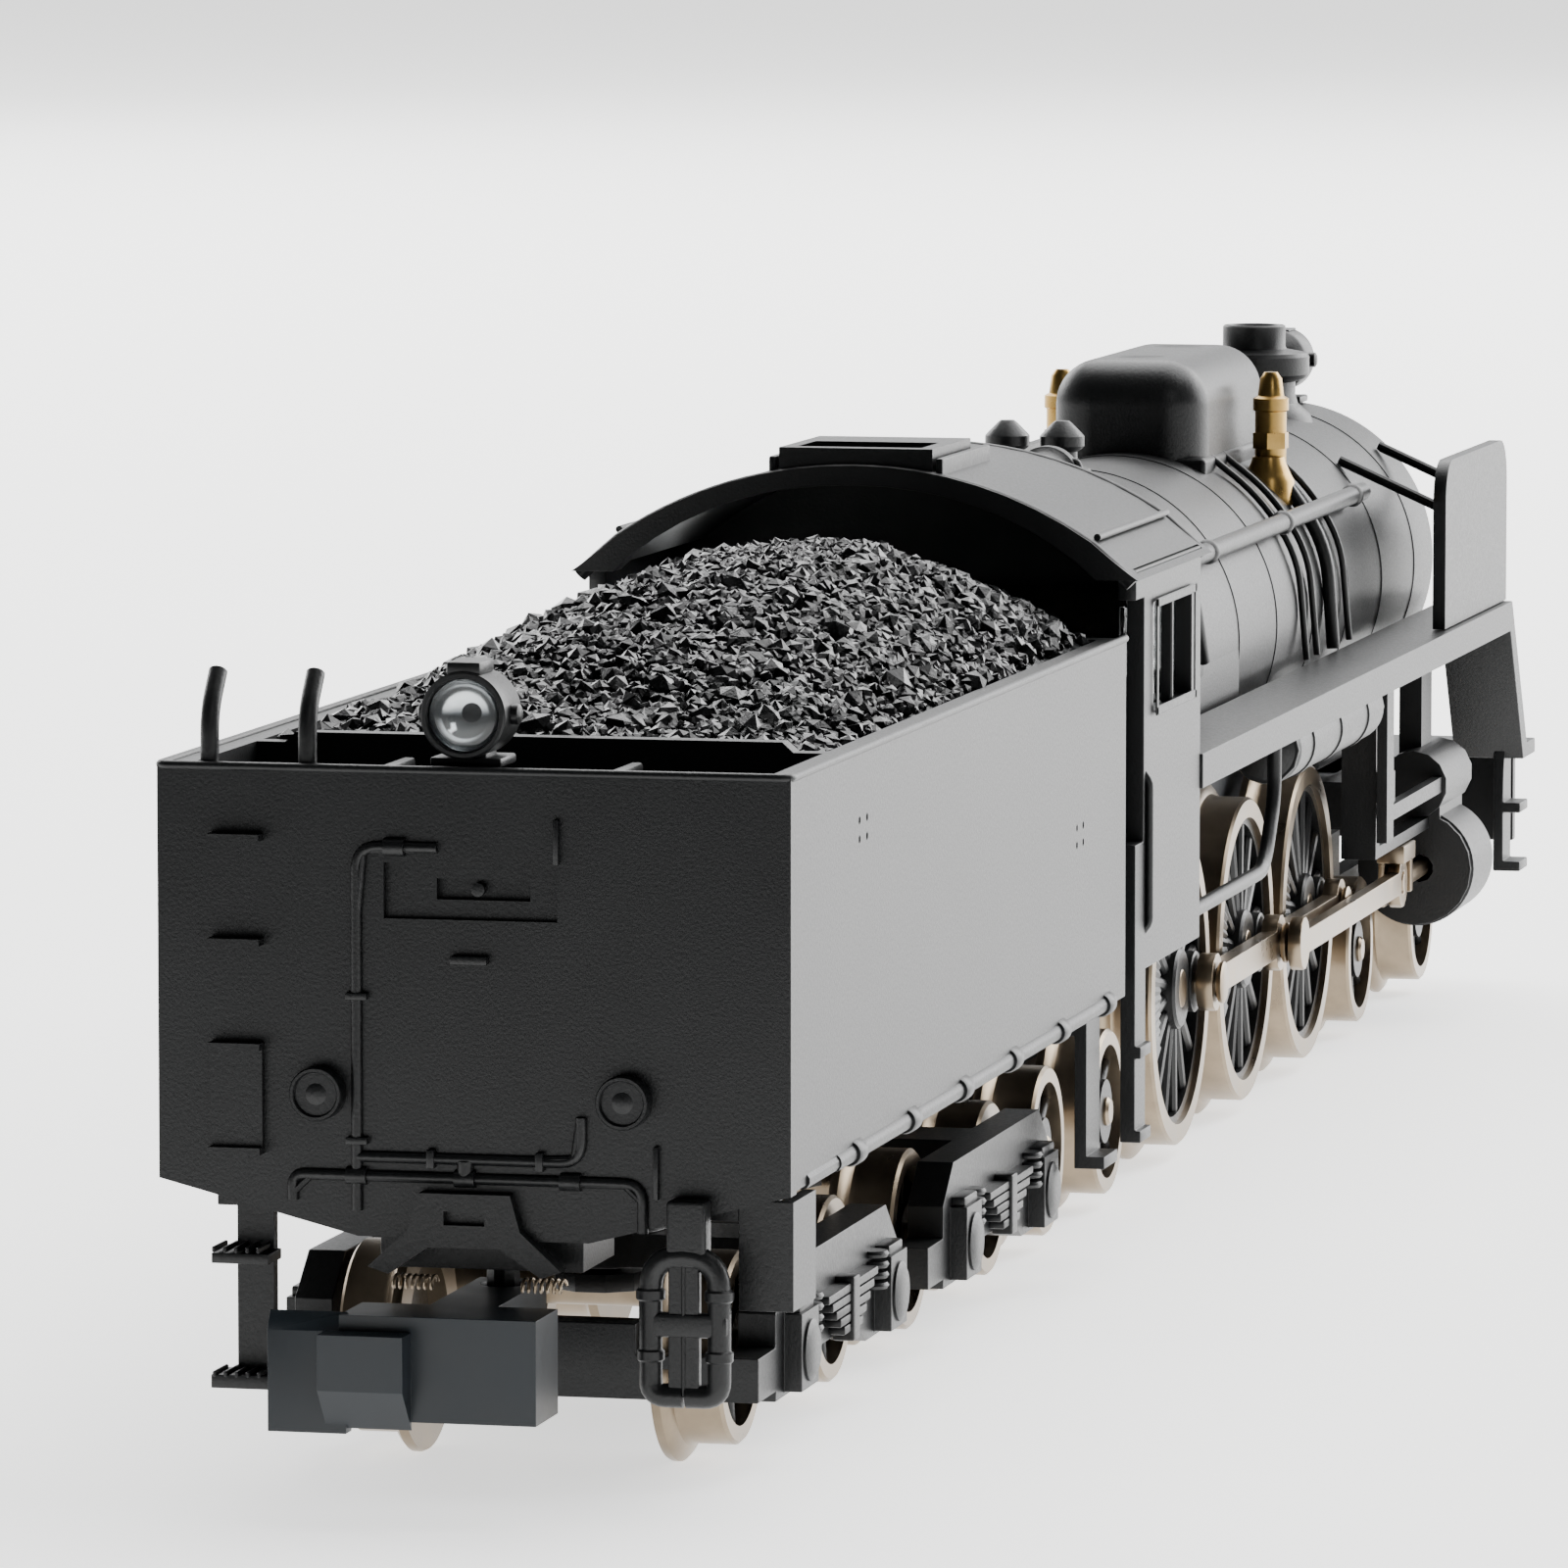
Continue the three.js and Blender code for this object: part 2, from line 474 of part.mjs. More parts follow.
{
  const strip = (sign) => box([boardRear, boardFront], [sign * boardInner, sign * boardHalf],
    [FOOTPLATE_TOP - SHEET, FOOTPLATE_TOP]);
  const valance = (sign) => box([boardRear, boardFront], [sign * (boardHalf - 0.5), sign * boardHalf],
    [FOOTPLATE_TOP - 1.2, FOOTPLATE_TOP]);
  const slope = (sign) => prismY([[boardFront - 0.8, FOOTPLATE_TOP - SHEET], [boardFront - 0.4, FOOTPLATE_TOP],
    [boardFront, FOOTPLATE_TOP], [slopeFront + 0.6, deckHeight], [slopeFront + 0.6, deckHeight - SHEET],
    [slopeFront - 0.3, deckHeight - SHEET]], [sign * boardInner, sign * boardHalf]);
  const tank = (sign) => bar('x', tankR, [driverAxles.main - 9, driverAxles.main + 9],
    [0, sign * (boardHalf - tankR - 0.1), FOOTPLATE_TOP - SHEET - tankR + 0.2], 12);
  const deck = box([smokeboxFront - 3, beamFace - SHEET], [-boardInner + 0.6, boardInner - 0.6],
    [deckHeight - SHEET, deckHeight]);
  const wings = box([slopeFront - 0.2, beamFace], [-boardHalf, boardHalf], [deckHeight - SHEET, deckHeight]);
  const beam = box([beamFace - SHEET, beamFace], [-8.6, 8.6], [5.2, deckHeight]);
  const stepX = [beamFace - 3.2, beamFace - 1.2];
  const steps = (sign) => join(
    box(stepX, [sign * 8.2, sign * 8.6], [4.2, deckHeight - 0.2]),
    ...[4.2, 6.6].map((z) => box(stepX, [sign * 8.2, sign * 9.3], [z, z + 0.4])));
  part('footplate', join(deck, wings, beam, ...[1, -1].flatMap(
    (s) => [strip(s), valance(s), slope(s), tank(s), steps(s)])), blackPlastic);
}

for (const [side, sign] of Object.entries(sides)) {
  const y = sign * (boardHalf - 0.75);
  const front = smokeboxFront + 0.2;
  const rear = front - deflectorLength;
  const shape = new THREE.Shape();
  shape.moveTo(rear, FOOTPLATE_TOP + SEAT);
  shape.lineTo(front, FOOTPLATE_TOP + SEAT);
  shape.absarc(front - 1.6, deflectorTop - 1.6, 1.6, 0, Math.PI / 2, false);
  shape.absarc(rear + 1.6, deflectorTop - 1.6, 1.6, Math.PI / 2, Math.PI, false);
  const plate = prismY(shape, [y, y + sign * 0.5], 5);
  const stayTop = deflectorTop - 0.2;
  const stayEnd = Math.sqrt(BOILER_R ** 2 - (stayTop - BOILER_CENTRE) ** 2) + 0.24;
  const stays = [rear + 3, front - 3].map((x) => pipe(
    [[x, y + sign * 0.2, deflectorTop - 2.2], [x, sign * stayEnd, stayTop]], 0.2));
  part(`smoke_deflector_${side}`, cut(join(plate, ...stays), boilerSeat(rear, smokeboxFront + 1)), blackPlastic);
}

const cabHalf = CAB_WIDTH / 2;
const wallSide = cabHalf - 0.3;
const ROOF_SHEET = 0.65;

// The roof's section: an arch that turns down at its eaves.
function roofLine(lift, half, low) {
  const shape = new THREE.Shape();
  shape.moveTo(-half, low);
  shape.quadraticCurveTo(-half + 0.4, EAVES + lift, -half + 1.6, EAVES + 1 + lift);
  shape.quadraticCurveTo(-4.4, ROOF_TOP + lift, 0, ROOF_TOP + lift);
  shape.quadraticCurveTo(4.4, ROOF_TOP + lift, half - 1.6, EAVES + 1 + lift);
  shape.quadraticCurveTo(half - 0.4, EAVES + lift, half, low);
  return shape;
}

{
  const walls = box([cabRear + CAB_WALL_BACK, cabFront], [-wallSide, wallSide], [CAB_BOTTOM, EAVES]);
  const front = prismX(roofLine(-ROOF_SHEET - 0.12, wallSide - 0.3, EAVES - 1), [cabFront - SHEET, cabFront], 8);
  const room = box([cabRear - 1, cabFront - SHEET], [-wallSide + SHEET, wallSide - SHEET],
    [CAB_BOTTOM - 1, EAVES + 5]);
  const footwell = box([cabRear + CAB_WALL_BACK, cabFront - SHEET], [-wallSide + SHEET - 0.1, wallSide - SHEET + 0.1], [11.6, 12.2]);
  const spine = box([cabRear - 1, cabFront + 1], [-4.3, 4.3], [CAB_BOTTOM - 1, motorBottom + 0.2]);
  const sideWindow = box([cabRear + 4.2, cabFront - 1.6], [-cabHalf - 1, cabHalf + 1], [EAVES - 4.9, EAVES - 1.3]);
  const door = box([cabRear, cabRear + CAB_WALL_BACK + 1.4], [-cabHalf - 1, cabHalf + 1], [FOOTPLATE_TOP - 2, EAVES - 1]);
  const frontWindow = (sign) => box([cabFront - 2, cabFront + 1], [sign * 6.9, sign * 8.3],
    [EAVES - 4.2, EAVES - 1.3]);
  const stepX = [cabRear + CAB_WALL_BACK, cabRear + CAB_WALL_BACK + 1.8];
  const steps = (sign) => join(
    box(stepX, [sign * (wallSide - 0.5), sign * wallSide], [3.6, CAB_BOTTOM + 0.5]),
    ...[3.6, 6.4].map((z) => box(stepX, [sign * (wallSide - 0.5), sign * (wallSide + 0.2)], [z, z + 0.4])));
  part('cab', cut(join(cut(walls, room), front, footwell, steps(1), steps(-1)),
    spine, sideWindow, door, frontWindow(1), frontWindow(-1)), blackPlastic);
}

// The roof is an arched shell whose rear rim overhangs the footplate.
{
  const outer = prismX(roofLine(0, cabHalf, EAVES - 0.25), [cabRear, cabFront + 0.6], 8);
  const inner = prismX(roofLine(-ROOF_SHEET, cabHalf - 0.5, EAVES - 1.5), [cabRear - 1, cabFront + 2], 8);
  const wallTops = box([cabRear + CAB_WALL_BACK - SEAT, cabFront + SEAT], [-wallSide - SEAT, wallSide + SEAT],
    [EAVES - 2, EAVES + SEAT]);
  const vent = box([cabRear + 0.4, cabRear + 6.4], [-2.6, 2.6], [ROOF_TOP - 0.9, ROOF_TOP + 0.55]);
  const rest = boilerSeat(cabFront, cabFront + 1);
  part('cab_roof', cut(join(cut(outer, inner), cut(vent, box([cabRear, cabRear + 9], [-3, 3], [0, ROOF_TOP - 0.75]))),
    wallTops, rest), blackPlastic);
}

{
  const z = [EAVES - 5.3, EAVES - 1.4];
  const face = wallSide - SHEET - SEAT;
  const pane = (sign) => box([cabRear + 3.6, cabFront - SHEET - SEAT], [sign * face, sign * (face - 0.4)], z);
  const back = box([cabFront - SHEET - SEAT - 0.4, cabFront - SHEET - SEAT], [-face, face], z);
  part('cab_glazing', join(pane(1), pane(-1), back), clear);
}

// ======================= cylinders and motion =======================

const cylinderY = CYLINDER_PITCH / 2;
const cylinderHalf = 2.7;
const rodLength = leadingPivot - cylinderHalf - 5.2 - mainAxle - CRANK;
const crossheadAt = (side) => {
  const [pinX, pinZ] = crankAt(side, mainAxle);
  return pinX + Math.sqrt(rodLength ** 2 - (pinZ - DRIVER_R) ** 2);
};
const guideRear = leadingPivot - cylinderHalf - 12.2;
const guideZ = [DRIVER_R + 1.6, DRIVER_R + 2.05];
const strokeRear = mainAxle - CRANK + rodLength;
const pistonLength = leadingPivot - cylinderHalf + 0.15 - strokeRear;

for (const [side, sign] of Object.entries(sides)) {
  const barrel = bar('x', CYLINDER_R, [leadingPivot - cylinderHalf, leadingPivot + cylinderHalf],
    [0, sign * cylinderY, DRIVER_R], 20);
  const chestZ = DRIVER_R + CYLINDER_R + 1.1;
  const chest = bar('x', 1.35, [leadingPivot - cylinderHalf - 0.4, leadingPivot + cylinderHalf + 0.4],
    [0, sign * cylinderY, chestZ], 14);
  const web = box([leadingPivot - cylinderHalf, leadingPivot + cylinderHalf],
    [sign * (frameHalf + SEAT), sign * (cylinderY + 1)], [truckClear, chestZ]);
  const steamPipe = box([leadingPivot - 1.2, leadingPivot + 1.2], [sign * (boardHalf - 3.2), sign * cylinderY],
    [chestZ, FOOTPLATE_TOP - SHEET - SEAT]);
  const guide = box([guideRear, leadingPivot - cylinderHalf + 0.2],
    [sign * (mainRodPlane[0] - 0.1), sign * (mainRodPlane[1] + 0.1)], guideZ);
  const bracket = join(
    box([guideRear, guideRear + 0.8], [sign * (frameHalf + 3.1), sign * (mainRodPlane[1] + 0.1)],
      [guideZ[0], FOOTPLATE_TOP - SHEET - SEAT]),
    box([guideRear - 1, guideRear + 0.5], [sign * valvePlane[0], sign * valvePlane[1]],
      [guideZ[1] + 0.3, FOOTPLATE_TOP - 1.4]),
    box([guideRear, guideRear + 0.8], [sign * mainRodPlane[1], sign * valvePlane[1]], [9.4, 10.6]));
  const radiusRod = box([guideRear, leadingPivot - cylinderHalf + 0.2],
    [sign * valvePlane[0], sign * valvePlane[1]], [chestZ - 0.25, chestZ + 0.35]);
  const radiusLug = box([leadingPivot - cylinderHalf - 0.3, leadingPivot - cylinderHalf + 0.5],
    [sign * (cylinderY - 0.3), sign * valvePlane[1]], [chestZ - 0.4, chestZ + 0.4]);
  part(`cylinder_${side}`, cut(join(barrel, chest, web, steamPipe, guide, bracket, radiusRod, radiusLug),
    bar('x', 0.55, [leadingPivot - cylinderHalf - 1, leadingPivot + cylinderHalf - 0.6],
      [0, sign * (mainRodPlane[0] + 0.25), DRIVER_R], 10)), blackPlastic);

  const pins = Object.values(driverAxles).map((x) => crankAt(side, x));
  const eye = 1.05;
  const rear = prismY(linkOutline(pins[0], pins[1], 1, eye), sideRodPlane.map((y) => sign * y), 6);
  const front = prismY(linkOutline(pins[1], pins[2], 1, eye), sideRodPlane.map((y) => sign * y), 6);
  const holes = pins.map(([x, z]) => bar('y', PIN_R + ROD_PLAY, [-9, 9], [x, 0, z], 10));
  part(`side_rod_${side}`, cut(join(rear, front), ...holes), nickel);

  const headX = crossheadAt(side);
  const [bigX, bigZ] = crankAt(side, mainAxle);
  const rod = prismY(linkOutline([bigX, bigZ], [headX, DRIVER_R], 0.9, 1), mainRodPlane.map((y) => sign * y), 6);
  part(`main_rod_${side}`, cut(rod, bar('y', CROSSHEAD_PIN_R + ROD_PLAY, [-9, 9], [headX, 0, DRIVER_R], 10),
    box([headX - 3.2, headX + 2], [sign * mainRodPlane[0], sign * (mainRodPlane[0] - 1)], [0, 9])), nickel);

  const headY = [mainRodPlane[0] - 0.35, mainRodPlane[0] - 0.08].map((y) => sign * y);
  const slipper = box([headX - 1.3, headX + 1.3], [headY[0], sign * (mainRodPlane[1] + 0.25)],
    [DRIVER_R + 0.85, guideZ[0] - 0.06]);
  const cheek = box([headX - 1, headX + 1], headY, [DRIVER_R - 0.9, guideZ[0] - 0.2]);
  const pin = bar('y', CROSSHEAD_PIN_R, [headY[0], sign * (mainRodPlane[1] + 0.05)], [headX, 0, DRIVER_R], 10);
  const pistonY = sign * (mainRodPlane[0] + 0.25);
  const piston = bar('x', 0.35, [headX + 1.2, headX + pistonLength], [0, pistonY, DRIVER_R], 8);
  const neck = box([headX + 1.15, headX + 1.6], [headY[0], pistonY + sign * 0.35], [DRIVER_R - 0.5, guideZ[0] - 0.2]);
  const clearance = bar('y', 1.15, [sign * (mainRodPlane[0] - 0.08), sign * (mainRodPlane[1] + 0.08)],
    [headX, 0, DRIVER_R], 16);
  part(`crosshead_${side}`, join(cut(join(slipper, neck), clearance), cheek, pin, piston), nickel);
}

// ======================= trucks =======================

const truckTop = truckClear - 0.35;

// A truck frame lies between its wheels; the axles turn in open slots in its two cheeks.
function innerTruck(name, axles, bolsterX) {
  const slot = AXLE_R + RUNNING;
  const half = wheelBack - 0.45;
  const cheek = (sign) => box([axles[0] - 1.6, axles[1] + 1.6], [sign * (half - 0.9), sign * half],
    [SMALL_R - 1.5, SMALL_R + 1.9]);
  const bridge = box([bolsterX - 1.8, bolsterX + 1.8], [-half, half], [SMALL_R + 0.9, truckTop - 0.2]);
  const stud = bar('z', 0.5, [truckTop - 0.4, truckTop + 1.6], [bolsterX, 0, 0]);
  const slots = axles.map((x) => join(bar('y', slot, [-half - 1, half + 1], [x, 0, SMALL_R]),
    box([x - slot, x + slot], [-half - 1, half + 1], [SMALL_R - 3, SMALL_R])));
  part(name, join(cut(join(cheek(1), cheek(-1), bridge), ...slots), stud), blackPlastic);
}
innerTruck('leading_truck', [leadingRear, leadingFront], leadingPivot);
innerTruck('trailing_truck', [trailingRear, trailingFront], trailingPivot);

// A tender bogie has its side frames outside the wheels; each axle end turns in a pocket.
const bogieTop = 7;
const sideInner = wheelFace + 0.35;
const sideOuter = sideInner + 1.15;
function tenderBogie(name, axles, beamEnd) {
  const x = middle(axles);
  const sideFrame = (sign) => {
    const shape = [[axles[0] - 2.1, 1.6], [axles[0] + 2.1, 1.6], [x - 2, 2.4], [x + 2, 2.4], [axles[1] - 2.1, 1.6],
      [axles[1] + 2.1, 1.6], [axles[1] + 2.1, 4.2], [axles[1] + 0.6, 5.4], [axles[0] - 0.6, 5.4],
      [axles[0] - 2.1, 4.2]];
    const boxes = axles.map((a) => box([a - 1.1, a + 1.1], [sign * sideOuter, sign * (sideOuter + 0.55)],
      [SMALL_R - 1.1, SMALL_R + 1.2]));
    return join(prismY(shape, [sign * sideInner, sign * sideOuter]), ...boxes);
  };
  const transom = box([x - 1.5, x + 1.5], [-sideOuter, sideOuter], [4.4, 5.4]);
  const bolster = turned([[0, 4.4], [2, 4.4], [2, bogieTop - 0.3], [0, bogieTop - 0.3]], 'z', [x, 0, 0], 16);
  const beamX = beamEnd < x ? [beamEnd, beamEnd + 0.7] : [beamEnd - 0.7, beamEnd];
  const arm = (sign) => box([beamEnd, axles[0] - 2], [sign * sideInner, sign * sideOuter], [1.9, 3.2]);
  const oval = box([beamX[0] - 1, beamX[1] + 1], [-5.1, -3.9], [2.3, 2.8]);
  const shield = box(beamX, [-3.6, 3.6], [1.9, 4.1]);
  const endBeam = join(cut(box(beamX, [-sideOuter, sideOuter], [1.9, 3.2]), oval), shield, arm(1), arm(-1));
  const pockets = axles.map((a) => bar('y', 0.5 + RUNNING, [-sideOuter - 0.1, sideOuter + 0.1], [a, 0, SMALL_R]));
  const pivot = bar('z', 0.8, [0, 12], [x, 0, 0]);
  part(name, cut(join(sideFrame(1), sideFrame(-1), transom, bolster, endBeam), ...pockets, pivot), blackPlastic);
}
tenderBogie('rear_bogie', rearBogieAxles, rearBogieAxles[0] - 2.1 - 2.2);
tenderBogie('front_bogie', frontBogieAxles, frontBogieAxles[0] - 2.1 - 2.2);

function pointedWheels(name, x) {
  const profile = wheelset(SMALL_R, sideOuter - 0.1).map(([r, t]) => [
    r === AXLE_R && Math.abs(t) >= wheelFace ? 0.5 : r, t]);
  part(name, turned(profile, 'y', [x, 0, SMALL_R]), nickel);
}
pointedWheels('rear_bogie_axle_rear', rearBogieAxles[0]);
pointedWheels('rear_bogie_axle_front', rearBogieAxles[1]);
pointedWheels('front_bogie_axle_rear', frontBogieAxles[0]);
pointedWheels('front_bogie_axle_front', frontBogieAxles[1]);

// ======================= tender =======================

const bulkhead = tenderRear + BULKHEAD_BACK;
{
  const shell = box([tenderRear, tenderFront], [-trimSide, trimSide], [TENDER_BOTTOM, TENDER_TOP]);
  const inside = trimSide - WALL;
  const cavity = box([tenderRear + WALL, tenderFront - WALL], [-inside, inside],
    [TENDER_BOTTOM - 1, COAL_FLOOR - WALL]);
  const bunker = box([bulkhead + 0.7, tenderFront - WALL], [-inside, inside], [COAL_FLOOR, TENDER_TOP + 1]);
  const well = box([tenderRear + WALL, bulkhead], [-inside, inside], [COAL_FLOOR + 0.9, TENDER_TOP + 1]);
  const plate = prismX([[-trimSide + 1, COAL_FLOOR], [trimSide - 1, COAL_FLOOR], [trimSide - 1, TENDER_TOP - 0.6],
    [trimSide - 2, TENDER_TOP + 0.3], [2 - trimSide, TENDER_TOP + 0.3], [1 - trimSide, TENDER_TOP - 0.6]],
  [bulkhead, bulkhead + 0.7]);
  const drop = prismX([[-trimSide, TENDER_BOTTOM + 0.1], [trimSide, TENDER_BOTTOM + 0.1],
    [trimSide, TENDER_BOTTOM - 0.1], [3.4, TENDER_BOTTOM - DROP_PLATE], [-3.4, TENDER_BOTTOM - DROP_PLATE],
    [-trimSide, TENDER_BOTTOM - 0.1]], [tenderRear, tenderRear + 0.7]);
  const face = tenderRear + 0.1;
  const rungs = [0, 1, 2, 3].map((i) => box([face, face - 0.65], [6.15, 7.7], [9.4 + 3 * i, 9.6 + 3 * i]));
  const rungBox = box([face, face - 0.35], [6.15, 7.7], [9.5, 12.5]);
  const plateRecess = join(box([tenderRear - 1, tenderRear + 0.25], [-2.5, 2.6], [16.25, 17.85]),
    box([tenderRear - 1, tenderRear + 0.55], [-1.65, 1.1], [16.8, 17.4]));
  const pipeR = 0.15;
  const pipeX = tenderRear - 0.06;
  const conduit = pipe([[pipeX, 1.1, 18.3], [pipeX, 3.4, 18.3],
    [pipeX, 3.4, TENDER_BOTTOM - DROP_PLATE + 0.9]], pipeR);
  const lowPipe = pipe([[pipeX, 3.4, 9.4], [pipeX, -3.2, 9.4], [pipeX, -3.2, 10.7]], pipeR);
  const drainPipe = pipe([[pipeX, 5.3, 8.3], [pipeX, 5.3, 8.85], [pipeX, -5, 8.85], [pipeX, -5, 8.3]], pipeR);
  // The coupler's bracket hangs from the foot of the rear panel and has an oval slot.
  const bracketX = [tenderRear - 0.45, tenderRear + 0.2];
  const bracket = cut(
    prismX([[-1.2, 8.45], [1.5, 8.45], [1.8, 7.4], [3, 6.3], [2.4, 6.1], [1.2, 6.9], [-0.9, 6.9], [-2.1, 6.1],
      [-2.7, 6.3], [-1.5, 7.4]].reverse(), bracketX),
    box([tenderRear - 1, bracketX[1] - 0.3], [-0.45, 0.75], [7.55, 7.95]));
  const tailLamp = (sign) => bar('x', 0.72, [face, face - 0.55], [0, sign * 4.5, 11.2], 12);
  const filler = join(bar('z', 1.6, [COAL_FLOOR + 0.8, TENDER_TOP - 0.6], [tenderRear + 3.9, -3.4, 0], 14),
    bar('z', 1.6, [COAL_FLOOR + 0.8, TENDER_TOP - 0.6], [tenderRear + 3.9, 3.4, 0], 14));
  // Two groups of four tiny holes in each side take grab irons.
  const holeR = 0.13;
  const holes = [1, -1].flatMap((sign) => [[8.8, 17.9], [40.5, 14.5]].flatMap(([along, height]) =>
    [[0, 0], [1, 0], [0, 0.55], [1, 0.55]].map(([dx, dz]) => bar('y', holeR,
      [sign * (trimSide - 0.4), sign * (trimSide + 1)], [tenderRear + along + dx, 0, height + dz], 6))));
  const sidePipe = (sign) => pipe([[tenderRear + 2, sign * (trimSide - 0.15), TENDER_BOTTOM + 0.1],
    [tenderFront - 2, sign * (trimSide - 0.15), TENDER_BOTTOM + 0.1]], 0.25);
  part('tender_body', join(cut(shell, cavity, bunker, well, plateRecess, ...holes), plate, drop, ...rungs, rungBox,
    conduit, lowPipe, drainPipe, bracket, tailLamp(1), tailLamp(-1), filler, sidePipe(1), sidePipe(-1)), blackPlastic);
}

// The coal load is a moulded heap: highest towards the cab, falling to the bulkhead and the sides.
{
  const x0 = bulkhead + 0.7 + SEAT;
  const x1 = tenderFront - WALL - SEAT;
  const half = trimSide - WALL - SEAT;
  const cells = 16;
  const rows = 8;
  const rim = TENDER_TOP - 0.35;
  const height = (u, v) => {
    const crown = Math.cos(v * Math.PI / 2) ** 0.8;
    const rise = Math.sin(Math.PI / 2 * Math.min(1, 0.03 + u * 1.25));
    const fall = u > 0.88 ? 1 - (u - 0.88) * 2.2 : 1;
    return rim + (COAL_PEAK - rim - 0.25) * crown * rise * fall + 0.2 * Math.sin(u * 29 + v * 5) * Math.cos(v * 9);
  };
  const positions = [];
  for (let i = 0; i <= cells; i += 1) {
    for (let j = 0; j <= rows; j += 1) {
      const [u, v] = [i / cells, 2 * j / rows - 1];
      positions.push(x0 + (x1 - x0) * u, half * v, height(u, v));
    }
  }
  const top = (i, j) => i * (rows + 1) + j;
  const corners = [];
  for (let i = 0; i < cells; i += 1) {
    for (let j = 0; j < rows; j += 1) {
      corners.push(top(i, j), top(i + 1, j), top(i + 1, j + 1), top(i, j), top(i + 1, j + 1), top(i, j + 1));
    }
  }
  const edge = [];
  for (let i = 0; i < cells; i += 1) edge.push(top(i, 0));
  for (let j = 0; j < rows; j += 1) edge.push(top(cells, j));
  for (let i = cells; i > 0; i -= 1) edge.push(top(i, rows));
  for (let j = rows; j > 0; j -= 1) edge.push(top(0, j));
  const floor = positions.length / 3;
  const bottom = COAL_FLOOR + SEAT;
  for (const e of edge) positions.push(positions[3 * e], positions[3 * e + 1], bottom);
  const centre = positions.length / 3;
  positions.push((x0 + x1) / 2, 0, bottom);
  edge.forEach((e, k) => {
    const next = (k + 1) % edge.length;
    corners.push(e, floor + next, edge[next], e, floor + k, floor + next, centre, floor + next, floor + k);
  });
  const geometry = new THREE.BufferGeometry();
  geometry.setAttribute('position', new THREE.BufferAttribute(new Float32Array(positions), 3));
  geometry.setIndex(corners);
  part('coal_load', solid(geometry), coal);
}

const underTop = TENDER_BOTTOM - SEAT;
const couplerPin = tenderRear + 3.4;
{
  const plate = box([tenderRear + 0.8, tenderFront - 0.3], [-7.8, 7.8], [underTop - 0.9, underTop]);
  const boss = (x) => join(bar('z', 1.5, [bogieTop, underTop - 0.5], [x, 0, 0]),
    bar('z', 0.6, [3.6, underTop - 0.5], [x, 0, 0]), bar('z', 1.5, [3.6, 4.15], [x, 0, 0]));
  const hanger = join(bar('z', COUPLER_PIN_R, [4, underTop - 0.5], [couplerPin, 0, 0]),
    box([tenderRear + 1, couplerPin + 1.2], [-3, 3], [6.1, underTop - 0.5]));
  const stepY = [6.1, 7.2];
  const steps = join(
    box([tenderRear + 0.75, tenderRear + 1.15], stepY, [2.6, underTop - 0.5]),
    box([tenderRear - 0.2, tenderRear + 1.15], [stepY[0] - 0.1, stepY[1] + 0.5], [6.2, 6.5]),
    box([tenderRear - 0.3, tenderRear + 1.15], [stepY[0] - 0.1, stepY[1] + 0.5], [2.6, 3]));
  const cornerSheet = join(
    box([tenderRear + 0.75, tenderRear + 1.15], [-7.6, -9.2], [5.2, underTop - 0.3]),
    box([tenderRear + 0.75, tenderRear + 3.6], [-8.8, -9.2], [5.2, underTop - 0.3]));
  const frontSteps = (sign) => join(
    box([tenderFront - 3.4, tenderFront - 1.2], [sign * 8.3, sign * 8.7], [3.4, underTop]),
    box([tenderFront - 3.4, tenderFront - 1.2], [sign * 8.3, sign * 9.3], [3.4, 3.8]),
    box([tenderFront - 3.4, tenderFront - 1.2], [sign * 7, sign * 8.7], [underTop - 0.9, underTop]));
  const drawPin = bar('z', TENDER_PIN_R, [6.2, underTop - 0.5], [tenderFront - DRAWBAR_SETBACK, 0, 0]);
  part('tender_underframe', join(plate, boss(middle(rearBogieAxles)), boss(middle(frontBogieAxles)), hanger,
    steps, cornerSheet, frontSteps(1), frontSteps(-1), drawPin), blackPlastic);
}

part('tender_weight', box([tenderRear + 2, tenderFront - 2], [-7.4, 7.4],
  [TENDER_BOTTOM + 0.1, COAL_FLOOR - WALL - 0.4]), darkZinc);

for (const [side, y] of [['left', 7.85], ['right', 4.95]]) {
  const x = tenderRear + 0.42;
  part(`grab_hook_${side}`, pipe([[x, y, TENDER_TOP + SEAT], [x, y, TENDER_TOP + 1.5],
    [x + 0.9, y, TENDER_TOP + 2.6]], 0.27, 1.1), blackPlastic);
}

// An air hose hangs in a closed loop, with a backing plate, from a bracket beside the coupler.
{
  const x = tenderRear + 0.05;
  const [inner, outer, foot, crown] = [-5.35, -7.35, 2.9, 6.9];
  const hose = pipe([[x - 0.6, -6.3, foot], [x - 0.6, inner, foot], [x - 0.6, inner, crown],
    [x - 0.6, outer, crown], [x - 0.6, outer, foot], [x - 0.6, -6.4, foot]], 0.34, 0.9, 6);
  const bracket = join(box([x - 0.9, x - 0.05], [-5.85, -7], [6.3, 8.5]),
    box([x - 0.8, x - 0.4], [-5.9, -6.8], [foot, 6.5]));
  const strap = box([x - 0.85, x - 0.4], [-5.2, -7.6], [4.6, 5.3]);
  part('brake_hoses', join(hose, bracket, strap), blackPlastic);
}

